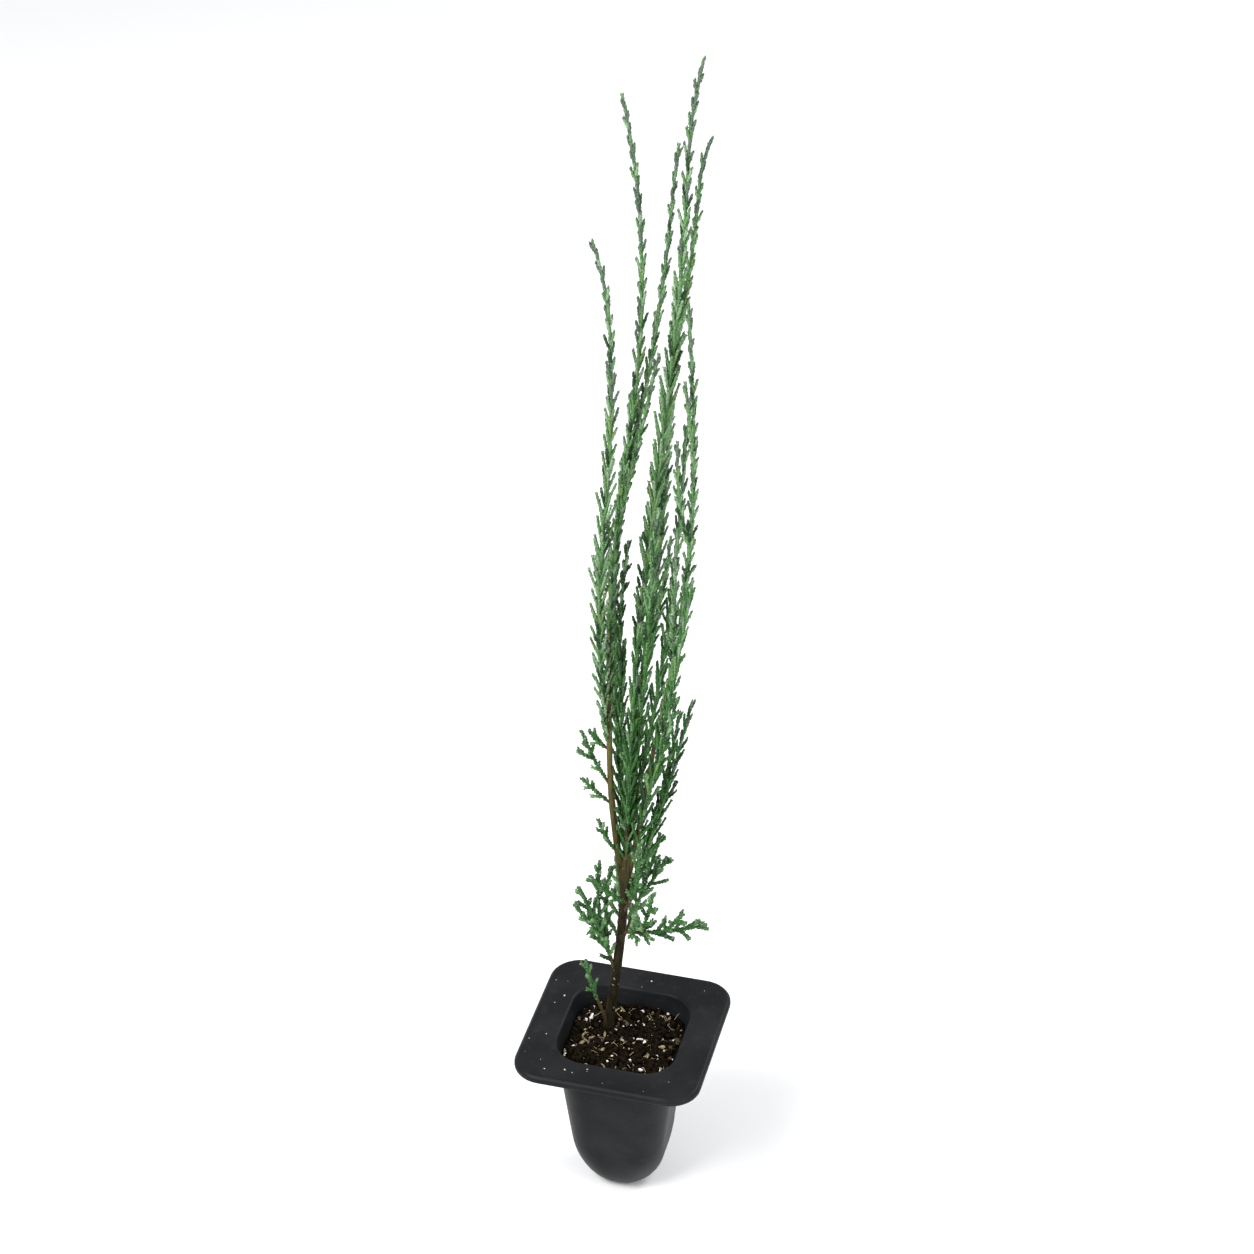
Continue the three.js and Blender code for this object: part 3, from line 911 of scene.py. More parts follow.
@dataclass
class PottingMix:
    """Moist peat with perlite, bark chips and pale fibres, loose and lumpy on top."""

    cell: Cell
    trunk_foot: Pair
    clearance: float = 0.3  # between its body and the cell
    lumps: tuple[Pair, ...] = ((9.0, 1.0), (3.2, 1.4), (1.3, 0.8))  # width and height of each layer
    lump_slice: float = 7.3  # the slice of the noise that a layer takes, over its width
    settled: float = 0.2  # how far the top lies under the CAD model's
    mound: Pair = (5.0, 0.8)  # width and height of the rise round the trunk
    wall_rise: Pair = (0.8, 0.9)  # share of the half width where it rises to the wall, and the height
    low_rings: tuple[float, ...] = (0.12, 0.25, 0.45, 0.7, 1.0)  # shares of the rounded bottom's height
    rings: int = 64
    sides: int = 160
    trunk_room: float = 3.0  # how far from the trunk's middle nothing lies
    kinds: tuple[Crumb, ...] = (
        Crumb("peat_crumbs", 850, (0.5, 1.9), (0.6, 1.0), 0.2, 3,
              PeatFinish("peat_crumb", (0.0018, 0.0014, 0.0009), (0.017, 0.0118, 0.0055), relief=0.3)),
        Crumb("perlite_grains", 190, (0.22, 1.1), (0.7, 1.0), 0.1, 5,
              CrumbFinish("white_perlite", (0.80, 0.79, 0.75), (0.36, 0.31, 0.24)), (0.5, 0.95)),
        Crumb("bark_chips", 150, (0.5, 1.9), (0.25, 0.45), 0.2, 7,
              CrumbFinish("bark_chip", (0.060, 0.042, 0.018), (0.020, 0.013, 0.008), 0.8, 1.2)),
        Crumb("straw_bits", 110, (0.25, 1.3), (0.2, 0.5), 0.1, 11,
              CrumbFinish("straw_bit", (0.36, 0.29, 0.14), (0.16, 0.11, 0.05))),
        Crumb("dry_leaves", 26, (1.2, 2.8), (0.1, 0.18), -0.6, 19,
              CrumbFinish("dry_leaf", (0.22, 0.180, 0.085), (0.10, 0.07, 0.03), 0.7, 1.5), (0.22, 0.4)),
    )
    fibres: Fibres = Fibres()

    @property
    def half(self) -> float:
        """Half its width at the top."""
        return self.cell.half_at(self.cell.soil_top) - self.cell.wall - self.clearance

    def _from_trunk(self, x: float, y: float) -> float:
        """How far a place is from the trunk."""
        return math.hypot(x - self.trunk_foot[0], y - self.trunk_foot[1])

    def height_at(self, x: float, y: float) -> float:
        """The height of the lumpy surface, a little raised round the trunk and at the wall.

        Args:
            x: The place from left to right.
            y: The place from front to back.

        Returns:
            The height over the floor.
        """
        rough = sum(
            height * noise.noise(Vector((x / width, y / width, self.lump_slice * width)))
            for width, height in self.lumps
        )
        width, height = self.mound
        mound = height * math.exp(-((self._from_trunk(x, y) / width) ** 2))
        edge, height = self.wall_rise
        rise = height * max(0.0, max(abs(x), abs(y)) / self.half - edge) / (1 - edge)
        return self.cell.soil_top - self.settled + rough + mound + rise

    def build(self) -> None:
        """Makes the body of the mix, each kind of crumb on it and its fibres."""
        self._build_body()
        for kind in self.kinds:
            self._scatter(kind)
        self._lay_fibres()

    def _build_body(self) -> None:
        """The closed body with its lumpy top."""
        cell, half, top = self.cell, self.half, self.cell.soil_top
        inset = cell.wall + self.clearance
        heights = [cell.knuckle_height * share for share in self.low_rings]
        low = [(cell.half_at(z) - inset, z + self.clearance) for z in (*heights, cell.throat_height)]
        wall = [(wide, z, cell.roundness_at(z) * wide) for wide, z in low]
        shares = np.linspace(1.0, 0.0, self.rings)[:-1]
        upper = [(half * share, top, cell.roundness * half * share) for share in shares]
        bottom = [(0.0, inset, 0.0), (cell.foot - inset, inset, cell.foot - inset)]
        corners, faces = turned_square([*bottom, *wall, *upper, (0.0, top, 0.0)], self.sides)
        on_top = np.abs(corners[:, 2] - top) < TINY
        corners[on_top, 2] = [self.height_at(x, y) for x, y in corners[on_top, :2]]
        body = Gathering()
        body.add(corners, faces)
        body.piece("soil_body", PeatFinish().material(), "potting_mix", ["potting_mix"])

    def _spot(self, random: np.random.Generator, margin: float) -> Place:
        """A place on the surface that keeps off the wall and the trunk.

        Args:
            random: Where the chance comes from.
            margin: How far it keeps from the wall, and from the trunk beside the room left round it.

        Returns:
            The place.
        """
        while True:
            x, y = random.uniform(-self.half, self.half, 2)
            heading = np.array([math.atan2(y, x)])
            reach = float(square_reach(heading, self.half, self.cell.roundness * self.half)[0])
            if math.hypot(x, y) < reach - margin and self._from_trunk(x, y) > self.trunk_room + margin:
                return x, y, self.height_at(x, y)

    def _scatter(self, kind: Crumb) -> None:
        """Lays all crumbs of one kind, as one piece.

        Args:
            kind: The kind.
        """
        random = np.random.default_rng(kind.seed)
        ball, faces = round_lump()
        gathered = Gathering()
        for _ in range(kind.count):
            radius = lerp(kind.size, random.random() ** kind.spread)
            flat = random.uniform(*kind.flatness)
            lump = ball * random.uniform(1 - kind.unevenness, 1 + kind.unevenness, (len(ball), 1))
            slim = random.uniform(*kind.slimness)
            lump = lump * radius * np.array([1.0, slim, flat]) @ turned_about(random).T
            x, y, z = self._spot(random, radius * kind.margin)
            lift = radius * (flat - kind.sunk) * kind.seat
            gathered.add(lump + np.array([x, y, z + lift]), faces)
        gathered.piece(kind.name, kind.finish.material(), "potting_mix", [])

    def _lay_fibres(self) -> None:
        """Lays the fibres as one piece."""
        fibres, limit = self.fibres, self.half - self.fibres.wall_gap
        random = np.random.default_rng(fibres.seed)
        gathered = Gathering()
        shares = np.linspace(0, 1, fibres.steps + 1)
        for _ in range(fibres.count):
            start = self._spot(random, fibres.margin)[:2]
            length = random.uniform(*fibres.length)
            heading = random.uniform(0, 2 * np.pi)
            headings = heading + random.uniform(-fibres.bend, fibres.bend) * shares
            steps = np.stack([np.cos(headings), np.sin(headings)], -1) * length / fibres.steps
            flat = np.clip(np.cumsum(steps, axis=0) + start, -limit, limit)
            lift = random.uniform(*fibres.arch) * np.sin(np.pi * shares) + fibres.lift
            heights = np.array([self.height_at(*place) for place in flat]) + lift
            radii = lerp((random.uniform(*fibres.root), fibres.tip), shares)
            gathered.add(*Cord(np.column_stack([flat, heights]), radii).tube(fibres.facets))
        gathered.piece("pale_fibres", fibres.finish.material(), "potting_mix", [])


def round_lump() -> tuple[np.ndarray, np.ndarray]:
    """A ball of radius 1.

    Returns:
        Its corners and its triangles.
    """
    ball = bmesh.new()
    bmesh.ops.create_icosphere(ball, subdivisions=2, radius=1.0)
    corners = np.array([v.co[:] for v in ball.verts])
    faces = np.array([[v.index for v in f.verts] for f in ball.faces])
    ball.free()
    return corners, faces


def turned_about(random: np.random.Generator, most: float = 0.6) -> np.ndarray:
    """A small tilt and then a turn about the upright axis.

    Args:
        random: Where the chance comes from.
        most: The most that it tilts by, in radians.

    Returns:
        A 3 by 3 matrix.
    """
    turn, tilt = random.uniform(0, 2 * np.pi), random.uniform(-most, most)
    upright = np.array([[np.cos(turn), -np.sin(turn), 0], [np.sin(turn), np.cos(turn), 0], [0, 0, 1]])
    tipped = np.array([[1, 0, 0], [0, np.cos(tilt), -np.sin(tilt)], [0, np.sin(tilt), np.cos(tilt)]])
    return upright @ tipped


@dataclass
class RimDust:
    """Small pale grains that were spilt on the flat rim."""

    cell: Cell
    count: int = 20
    size: Pair = (0.12, 0.5)  # radius of the smallest and of the largest
    shape: Place = (1.0, 0.8, 0.6)
    spread: float = 2.0  # power by which small ones outnumber large ones
    unevenness: float = 0.2
    seat: float = 0.3  # share of its radius that a grain's middle stands over the rim
    margin: float = 2.0  # how far they keep from the rim's edges
    seed: int = 17
    finish: CrumbFinish = CrumbFinish("rim_grain", (0.62, 0.58, 0.50), (0.30, 0.25, 0.18))

    def build(self) -> None:
        """Makes the grains as one piece."""
        random = np.random.default_rng(self.seed)
        ball, faces = round_lump()
        gathered = Gathering()
        inner, outer = self.cell.mouth + self.margin, self.cell.rim_half - self.margin
        while len(gathered.corners) < self.count:
            x, y = random.uniform(-outer, outer, 2)
            if max(abs(x), abs(y)) < inner:
                continue
            radius = lerp(self.size, random.random() ** self.spread)
            uneven = random.uniform(1 - self.unevenness, 1 + self.unevenness, (len(ball), 1))
            lump = ball * uneven * radius * np.array(self.shape)
            place = np.array([x, y, self.cell.height + radius * self.seat])
            gathered.add(lump @ turned_about(random).T + place, faces)
        gathered.piece("rim_grains", self.finish.material(), "potting_mix", [])


# The plant


@dataclass(eq=False)
class BowedLine:
    """The line of a limb or a shoot: bowed by a half wave, swayed by a whole one and hooked at its tip."""

    foot: np.ndarray
    tip: np.ndarray
    bow: Pair
    sway: Pair = (0.0, 0.0)
    hook: float = 0.0  # how far its tip bends to the right
    hooked: float = 0.14  # share of the rise that the hook takes
    steps: int = 200  # that its length is measured in
    nearby: float = 0.01  # share of the line to each side that a direction is read from

    def _at(self, shares: np.ndarray) -> np.ndarray:
        """Points at shares of the rise.

        Args:
            shares: The shares.

        Returns:
            The points.
        """
        points = self.foot + (self.tip - self.foot) * shares[:, None]
        half, whole = np.sin(np.pi * shares), np.sin(2 * np.pi * shares)
        points[:, 0] += self.bow[0] * half + self.sway[0] * whole
        points[:, 1] += self.bow[1] * half + self.sway[1] * whole
        points[:, 0] += self.hook * np.clip(1 + (shares - 1) / self.hooked, 0.0, 1.0) ** 2
        return points

    @cached_property
    def _table(self) -> tuple[np.ndarray, np.ndarray]:
        """What turns a share of the length into a share of the rise.

        Returns:
            Shares of the rise, and how far along the line each one is.
        """
        shares = np.linspace(0, 1, self.steps + 1)
        steps = np.linalg.norm(np.diff(self._at(shares), axis=0), axis=1)
        return shares, np.concatenate([[0.0], np.cumsum(steps)])

    @property
    def length(self) -> float:
        """The length of the line."""
        return float(self._table[1][-1])

    def points(self, shares: np.ndarray) -> np.ndarray:
        """Points at shares of the line's length."""
        rises, distances = self._table
        return self._at(np.interp(np.asarray(shares) * self.length, distances, rises))

    def point(self, share: float) -> np.ndarray:
        """The point at one share of the line's length."""
        return self.points(np.array([share]))[0]

    def tangent(self, share: float) -> np.ndarray:
        """The direction at one share of the line's length."""
        ends = self.points(np.array([clamped(share - self.nearby), clamped(share + self.nearby)]))
        return unit(ends[1] - ends[0])


@dataclass(frozen=True)
class HabitSizes:
    """How sprays stand on a shoot, from its foot to its tip, and how they branch again."""

    reach: Pair
    angle: Pair  # degrees away from the shoot
    spacing: Pair
    start: float  # share of the shoot's length that is bare
    bend: float  # share of its angle that a spray loses towards its tip
    shoot: Pair  # radius of the shoot, from its foot to its tip
    stem: Pair  # radius of a spray's stem, from its root to its tip
    scale: Scale
    branched: Pair  # share of the sprays that branch again
    branch_spacing: float
    branch_reach: Pair
    branch_angle: float
    woody: float  # share of the shoot's length that is brown
    crowding: float = 2.2  # power by which the spacing opens towards the shoot's tip
    fullness: float = 1.5  # power by which the reach shrinks towards the shoot's tip
    low_reach: float = 0.6  # share of its reach that the lowest spray has
    swelling: float = 1.4  # how fast the reach rises from there
    dusky: float = 0.0  # how fast sprays turn dusky towards the shoot's tip


SLIM_SCALE = Scale(length=1.7, width=0.95, lean=6, step=1.2, thickness=0.15, seat=0.85)
BLUNT_SCALE = Scale(length=1.5, width=1.35, lean=7, step=1.15, thickness=0.3, belly=0.6, seat=0.8)


class Habit(Enum):
    """The kinds of growth: long erect whips, fuller plumes low in the crown, open tufts, short sprigs."""

    WHIP = HabitSizes(
        reach=(14.5, 3.2), angle=(24, 17), spacing=(1.1, 2.5), start=0.01, bend=0.35, shoot=(0.85, 0.44),
        stem=(0.48, 0.43), scale=SLIM_SCALE, branched=(0.3, -0.3), branch_spacing=3.6,
        branch_reach=(5.0, 2.6), branch_angle=20, woody=0.14, low_reach=0.45, dusky=1.8,
    )
    PLUME = HabitSizes(
        reach=(15.0, 5.0), angle=(27, 14), spacing=(1.9, 2.6), start=0.04, bend=0.45, shoot=(0.85, 0.5),
        stem=(0.48, 0.43), scale=SLIM_SCALE, branched=(0.6, 0.1), branch_spacing=3.4,
        branch_reach=(5.4, 2.8), branch_angle=22, woody=0.2, dusky=0.5,
    )
    TUFT = HabitSizes(
        reach=(9.5, 5.0), angle=(44, 36), spacing=(2.9, 2.9), start=0.2, bend=0.3, shoot=(0.75, 0.62),
        stem=(0.64, 0.62), scale=BLUNT_SCALE, branched=(1.0, 0.5), branch_spacing=2.9,
        branch_reach=(3.8, 2.6), branch_angle=40, woody=0.3,
    )
    SPRIG = HabitSizes(
        reach=(4.2, 3.0), angle=(48, 38), spacing=(2.6, 2.4), start=0.35, bend=0.2, shoot=(0.6, 0.56),
        stem=(0.56, 0.56), scale=BLUNT_SCALE, branched=(0.1, 0.0), branch_spacing=2.4,
        branch_reach=(2.4, 2.0), branch_angle=42, woody=0.2,
    )

    @property
    def is_young(self) -> bool:
        """Whether its leaves are the blunt ones of young growth."""
        return self in (Habit.TUFT, Habit.SPRIG)


@dataclass(frozen=True)
class Limb:
    """A woody limb that grows on another."""

    name: str
    on: str
    at: float  # share of the other's length where it starts
    tip: Place  # its height over the rim
    bow: Pair
    radii: Pair  # at its root and at its tip


@dataclass(frozen=True)
class Fork:
    """A shoot that leaves a mass's main shoot."""

    at: float  # share of the main shoot's length where it starts
    tip: Place  # its height over the rim
    bow: Pair
    reach: float = 0.6  # share of the habit's reach that its sprays have
    hook: float = 0.0


@dataclass(frozen=True)
class Mass:
    """One mass of foliage on one limb: its main shoot, its forks and its habit."""

    name: str
    on: str
    at: float  # share of the limb's length where it starts
    tip: Place  # its height over the rim
    bow: Pair
    habit: Habit
    seed: int
    forks: tuple[Fork, ...] = ()
    sway: Pair = (0.0, 0.0)
    shade: float = 0.2  # how far inside the crown it stands, which deals it more deep and fewer warm sprays as painted shade
    reach: float = 1.0  # share of the habit's reach that its main shoot's sprays have
    hook: float = 0.0
    bare: float = 0.0  # share of its length that bears no spray


@dataclass(frozen=True)
class Shoot:
    """One shoot of a mass: its line, its radii, its sprays' reach and how far up the mass it starts."""

    line: BowedLine
    radii: Pair
    reach: float
    start: float = 0.0


@dataclass
class Juniper:
    """The plant: a trunk and its boughs under bark, and masses of scaly sprays."""

    cell: Cell
    trunk_foot: Place = (-9.0, 9.1, -10.0)
    trunk_tip: Place = (4.4, 1.8, 173.0)
    trunk_bow: Pair = (2.6, -1.7)
    trunk_sway: Pair = (0.6, 0.0)
    trunk_radii: Pair = (1.95, 0.95)  # at its foot and at its tip
    thinning: float = 1.6  # power by which the trunk thins towards its tip
    flare: float = 0.35  # how much thicker it is where it leaves the mix
    flare_height: float = 4.0
    fork_radius: float = 0.75  # share of the main shoot's radius that a fork has
    turn: float = 137.5  # degrees from one spray on a shoot to the next
    boughs: tuple[Limb, ...] = (
        Limb("left_bough", "trunk", 0.405, (-5.1, -1, 149.6), (-1.7, -0.8), (1.45, 1.0)),
        Limb("right_bough", "trunk", 0.405, (11.6, -1.4, 136), (0.6, -1), (1.2, 0.85)),
        Limb("back_bough", "trunk", 0.38, (1.5, 12.6, 132), (-1.6, 2.6), (1.2, 0.85)),
    )
    masses: tuple[Mass, ...] = (
        Mass("main_leader", "trunk", 1, (22.8, -2, 401), (2.6, -0.6), Habit.WHIP, 11,
             (Fork(0.5, (25.4, 4.4, 372), (1.1, 1), 0.5, 1.9),), (-0.8, 0), 0.15, 1.1, 3.2),
        Mass("left_leader", "left_bough", 1, (0.6, 3.4, 384), (4.4, 0.6), Habit.WHIP, 23,
             (Fork(0.38, (15.9, 7.6, 367), (2.5, 0.8), 0.5, 0.3),
              Fork(0.33, (12, -1, 295), (0.4, -0.8), 0.3)), (-3.4, 0), 0.2, 0.65, -1.3),
        Mass("outer_leader", "left_bough", 0.8, (-3.6, -9.8, 338), (0, -4), Habit.WHIP, 37,
             (), (-2.5, 0), 0.15, hook=-3.4),
        Mass("right_leader", "right_bough", 1, (23.9, -6.6, 318), (7.4, -1.6), Habit.WHIP, 41,
             (Fork(0.68, (23.8, -9, 290), (0.4, -1), 0.4), Fork(0.5, (21.5, -10.6, 268), (-1.2, -1.4), 0.5),
              Fork(0.22, (21.5, -11.4, 222), (0.4, -1.6))), shade=0.35, reach=0.5),
        Mass("right_shoot", "right_bough", 0.16, (27.4, -12, 215), (1.6, -3), Habit.PLUME, 53,
             (Fork(0.34, (23.2, -16, 168), (0.4, -1.6)),), shade=0.4),
        Mass("side_shoot", "trunk", 0.365, (23.5, 5.8, 152), (1.6, 0.4), Habit.PLUME, 61,
             (Fork(0.4, (17.8, 11.6, 142), (0, 1.6)),), shade=0.5),
        Mass("front_shoot", "trunk", 0.53, (13.4, -5.6, 238), (1.2, -3), Habit.PLUME, 71),
        Mass("middle_shoot", "trunk", 0.465, (7, -5, 196), (0.4, -4.4), Habit.PLUME, 73),
        Mass("left_shoot", "trunk", 0.48, (-1.2, 6, 174), (-2.6, 3.4), Habit.PLUME, 79,
             (Fork(0.72, (1.2, 1, 219), (-1.4, -1), 0.7),), shade=0.45),
        Mass("inner_shoot", "trunk", 0.55, (19.5, 10.6, 262), (3, 2.4), Habit.PLUME, 83,
             shade=0.5, reach=0.8),
        Mass("back_leader", "back_bough", 1, (13.6, 15.6, 304), (2.2, 0.8), Habit.WHIP, 97,
             (Fork(0.2, (11.3, 22, 210), (0.6, 1.6)),), reach=0.8),
        Mass("back_shoot", "back_bough", 0.35, (-3.6, 13.2, 244), (-4.4, 1.6), Habit.PLUME, 101,
             (Fork(0.3, (-8.7, 21, 172), (-0.6, 1.4)),), shade=0.4, reach=0.6),
        Mass("low_right_tuft", "trunk", 0.29, (31, -5, 61), (1, -1.4), Habit.TUFT, 109,
             (Fork(0.28, (12, -4, 69), (0, -1), 1), Fork(0.55, (24, -9.4, 67), (0, -1), 1),
              Fork(0.08, (7, -7.4, 58), (0.6, -0.8), 0.7))),
        Mass("front_tuft", "trunk", 0.345, (8.5, -9.4, 94), (2.2, -1.6), Habit.TUFT, 127,
             (Fork(0.2, (-9.5, -7, 76), (-0.6, -1), 0.35),), reach=0.7, bare=0.3),
        Mass("low_left_tuft", "trunk", 0.165, (-16, -2, 65), (1.5, -0.6), Habit.TUFT, 131,
             (Fork(0.5, (-10.8, 4.6, 73), (-1, 0.6), 0.6), Fork(0.3, (-7.2, 6, 70), (-1, -0.4), 0.5),
              Fork(0.5, (-17, -3, 57.5), (-0.4, 0), 0.6))),
        Mass("left_tuft", "left_bough", 0.6, (-13.9, -4, 139), (-0.4, -0.6), Habit.SPRIG, 149,
             (Fork(0.6, (-13.6, -6, 133), (0, -0.6), 1),)),
        Mass("left_tuft", "left_bough", 0.8, (-10.8, -2.5, 139), (-0.6, -0.4), Habit.SPRIG, 150),
        Mass("left_tuft", "left_bough", 0.5, (-13, -4.5, 119), (-0.6, 0.2), Habit.SPRIG, 152),
        Mass("fork_tuft", "left_bough", 0.22, (-8.6, -1, 97.6), (-0.4, -0.6), Habit.SPRIG, 151),
        Mass("back_tuft", "trunk", 0.215, (-9.5, 25, 60), (0.6, 2), Habit.TUFT, 163,
             (Fork(0.4, (-4, 24, 64), (0.6, 0.6), 1),)),
        Mass("back_right_tuft", "trunk", 0.25, (8, 21, 78), (1, 2), Habit.TUFT, 173,
             (Fork(0.46, (11, 17.6, 70), (0.4, 0), 1),)),
        Mass("foot_sprig", "trunk", 0.0, (-14.5, -1, 29), (0.9, -2.2), Habit.SPRIG, 179,
             sway=(0.5, 0), bare=0.62),
    )

    def _over_rim(self, place: Place) -> np.ndarray:
        """A place whose height is given over the rim."""
        return np.array([place[0], place[1], self.cell.height + place[2]], float)

    @cached_property
    def lines(self) -> dict[str, BowedLine]:
        """The woody limbs.

        Returns:
            The line of each, by its name.
        """
        foot, tip = self._over_rim(self.trunk_foot), self._over_rim(self.trunk_tip)
        lines = {"trunk": BowedLine(foot, tip, self.trunk_bow, self.trunk_sway)}
        for limb in self.boughs:
            root = lines[limb.on].point(limb.at)
            lines[limb.name] = BowedLine(root, self._over_rim(limb.tip), limb.bow)
        return lines

    def shoots(self, mass: Mass) -> list[Shoot]:
        """The shoots of a mass.

        Args:
            mass: The mass.

        Returns:
            Its main shoot and then its forks.
        """
        root = self.lines[mass.on].point(mass.at)
        main = BowedLine(root, self._over_rim(mass.tip), mass.bow, mass.sway, mass.hook)
        foot, tip = mass.habit.value.shoot
        shoots = [Shoot(main, (foot, tip), mass.reach)]
        for fork in mass.forks:
            line = BowedLine(main.point(fork.at), self._over_rim(fork.tip), fork.bow, hook=fork.hook)
            shoots.append(Shoot(line, (max(foot * self.fork_radius, tip), tip), fork.reach, fork.at))
        return shoots

    def build(self) -> None:
        """Makes the bark, the twigs and the leaves."""
        Bark(self).build()
        Foliage(self).build()


@dataclass
class Bark:
    """The trunk and the boughs as one grown-together surface with its relief."""

    plant: Juniper
    rings: int = 90
    trunk_facets: int = 20
    bough_facets: int = 18
    voxel: float = 0.27  # size of the mesh that fuses the limbs
    rounds: int = 4  # of smoothing
    smoothing: float = 0.5
    relief: tuple[Place, ...] = ((1.1, 7.0, 0.16), (0.45, 2.2, 0.1))  # streaks: width, length, height
    scar_step: float = 5.2  # from one ring of old leaves to the next
    scar_wave: float = 4.0  # width of the waves that leave those rings uneven
    scar_edge: float = 0.72  # cosine of the turn round its middle where a ring ends
    scar_height: float = 0.16
    collar: Pair = (0.5, 14.0)  # how much a bough swells at its root, and how fast that ends
    finish: BarkFinish = BarkFinish()

    def _trunk_radii(self, shares: np.ndarray) -> np.ndarray:
        """The trunk's radius, with the flare of its foot.

        Args:
            shares: The places, as shares of its length.

        Returns:
            The radii there.
        """
        plant, cell = self.plant, self.plant.cell
        heights = lerp((plant.trunk_foot[2], plant.trunk_tip[2]), shares) + cell.height
        rise = np.maximum(0.0, heights - cell.soil_top)
        body = lerp(plant.trunk_radii, shares**plant.thinning)
        return body + plant.flare * np.exp(-rise / plant.flare_height)

    def _limbs(self) -> Gathering:
        """The limbs as smooth tubes.

        Returns:
            The trunk's and the boughs'.
        """
        shares = np.linspace(0, 1, self.rings)
        collar = self.collar[0] * np.exp(-shares * self.collar[1])
        lines = self.plant.lines
        limbs = Gathering()
        trunk = Cord(lines["trunk"].points(shares), self._trunk_radii(shares))
        limbs.add(*trunk.tube(self.trunk_facets))
        for limb in self.plant.boughs:
            bough = Cord(lines[limb.name].points(shares), lerp(limb.radii, shares) + collar)
            limbs.add(*bough.tube(self.bough_facets))
        return limbs

    def build(self) -> None:
        """Fuses the limbs, raises the relief on them and dresses them."""
        rough = placed("rough_limbs", self._limbs().mesh("rough_limbs"))
        fuse = rough.modifiers.new("fuse", "REMESH")
        fuse.mode = "VOXEL"
        fuse.voxel_size = self.voxel * MM
        smooth = rough.modifiers.new("smooth", "SMOOTH")
        smooth.iterations = self.rounds
        smooth.factor = self.smoothing
        bpy.context.view_layer.update()
        evaluated = rough.evaluated_get(bpy.context.evaluated_depsgraph_get())
        fused = bpy.data.meshes.new_from_object(evaluated)
        bpy.data.objects.remove(rough)
        fused.name = "bark_relief"
        self._raise_relief(fused)
        nodes = ["trunk", *(limb.name for limb in self.plant.boughs)]
        finish_piece(fused, self.finish.material(), nodes)

    def _raise_relief(self, mesh: bpy.types.Mesh) -> None:
        """Moves the surface out and in, in streaks along the limbs and in rings where old leaves sat.

        Args:
            mesh: The fused limbs.
        """
        count = len(mesh.vertices)
        places, normals = np.zeros(count * 3), np.zeros(count * 3)
        mesh.vertices.foreach_get("co", places)
        mesh.vertices.foreach_get("normal", normals)
        places, normals = places.reshape(-1, 3) / MM, normals.reshape(-1, 3)

        def noise_at(stretched: np.ndarray) -> np.ndarray:
            """The noise at each place."""
            return np.array([noise.noise(Vector(place)) for place in stretched])

        wave = noise_at(places / self.scar_wave)
        rings = np.cos(2 * np.pi * (places[:, 2] / self.scar_step + wave))
        lift = self.scar_height * np.clip(rings - self.scar_edge, 0.0, 1.0)
        for wide, long, height in self.relief:
            lift += height * noise_at(places / np.array([wide, wide, long]))
        mesh.vertices.foreach_set("co", ((places + normals * lift[:, None]) * MM).ravel())
        mesh.update()


@dataclass
class Foliage:
    """All masses: shoots, sprays and their branches as thin stems, with scale leaves in dealt tints."""

    plant: Juniper
    limit: int = 190_000  # triangles in one piece
    brown_stems: Gathering = field(default_factory=Gathering)
    stems: dict[Tint, Gathering] = field(default_factory=lambda: {tint: Gathering() for tint in Tint})
    leaves: dict[Tint, Gathering] = field(default_factory=lambda: {tint: Gathering() for tint in Tint})

    def _nodes(self, young: bool) -> list[str]:
        """The names of the masses of young growth, or of the others, each once."""
        return list(dict.fromkeys(mass.name for mass in self.plant.masses if mass.habit.is_young == young))

    def build(self) -> None:
        """Grows every mass and makes pieces for each kind of stem and each tint of leaf."""
        for mass in self.plant.masses:
            Growth(self, mass, np.random.default_rng(mass.seed)).grow()
        nodes = {False: self._nodes(False), True: self._nodes(True)}
        brown = TwigFinish().material()
        self.brown_stems.piece("woody_stems", brown, "foliage", [*nodes[False], *nodes[True]])
        for kind, gathered in (("leaves", self.leaves), ("stems", self.stems)):
            for tint, shapes in gathered.items():
                young = tint in (Tint.YOUNG, Tint.BLUNT)
                slot = "young_foliage" if young else "foliage"
                for number, part in enumerate(shapes.split(self.limit), 1):
                    name = f"{tint.value.name}_{kind}_{number}"
                    part.piece(name, tint.value.material(name), slot, nodes[young])


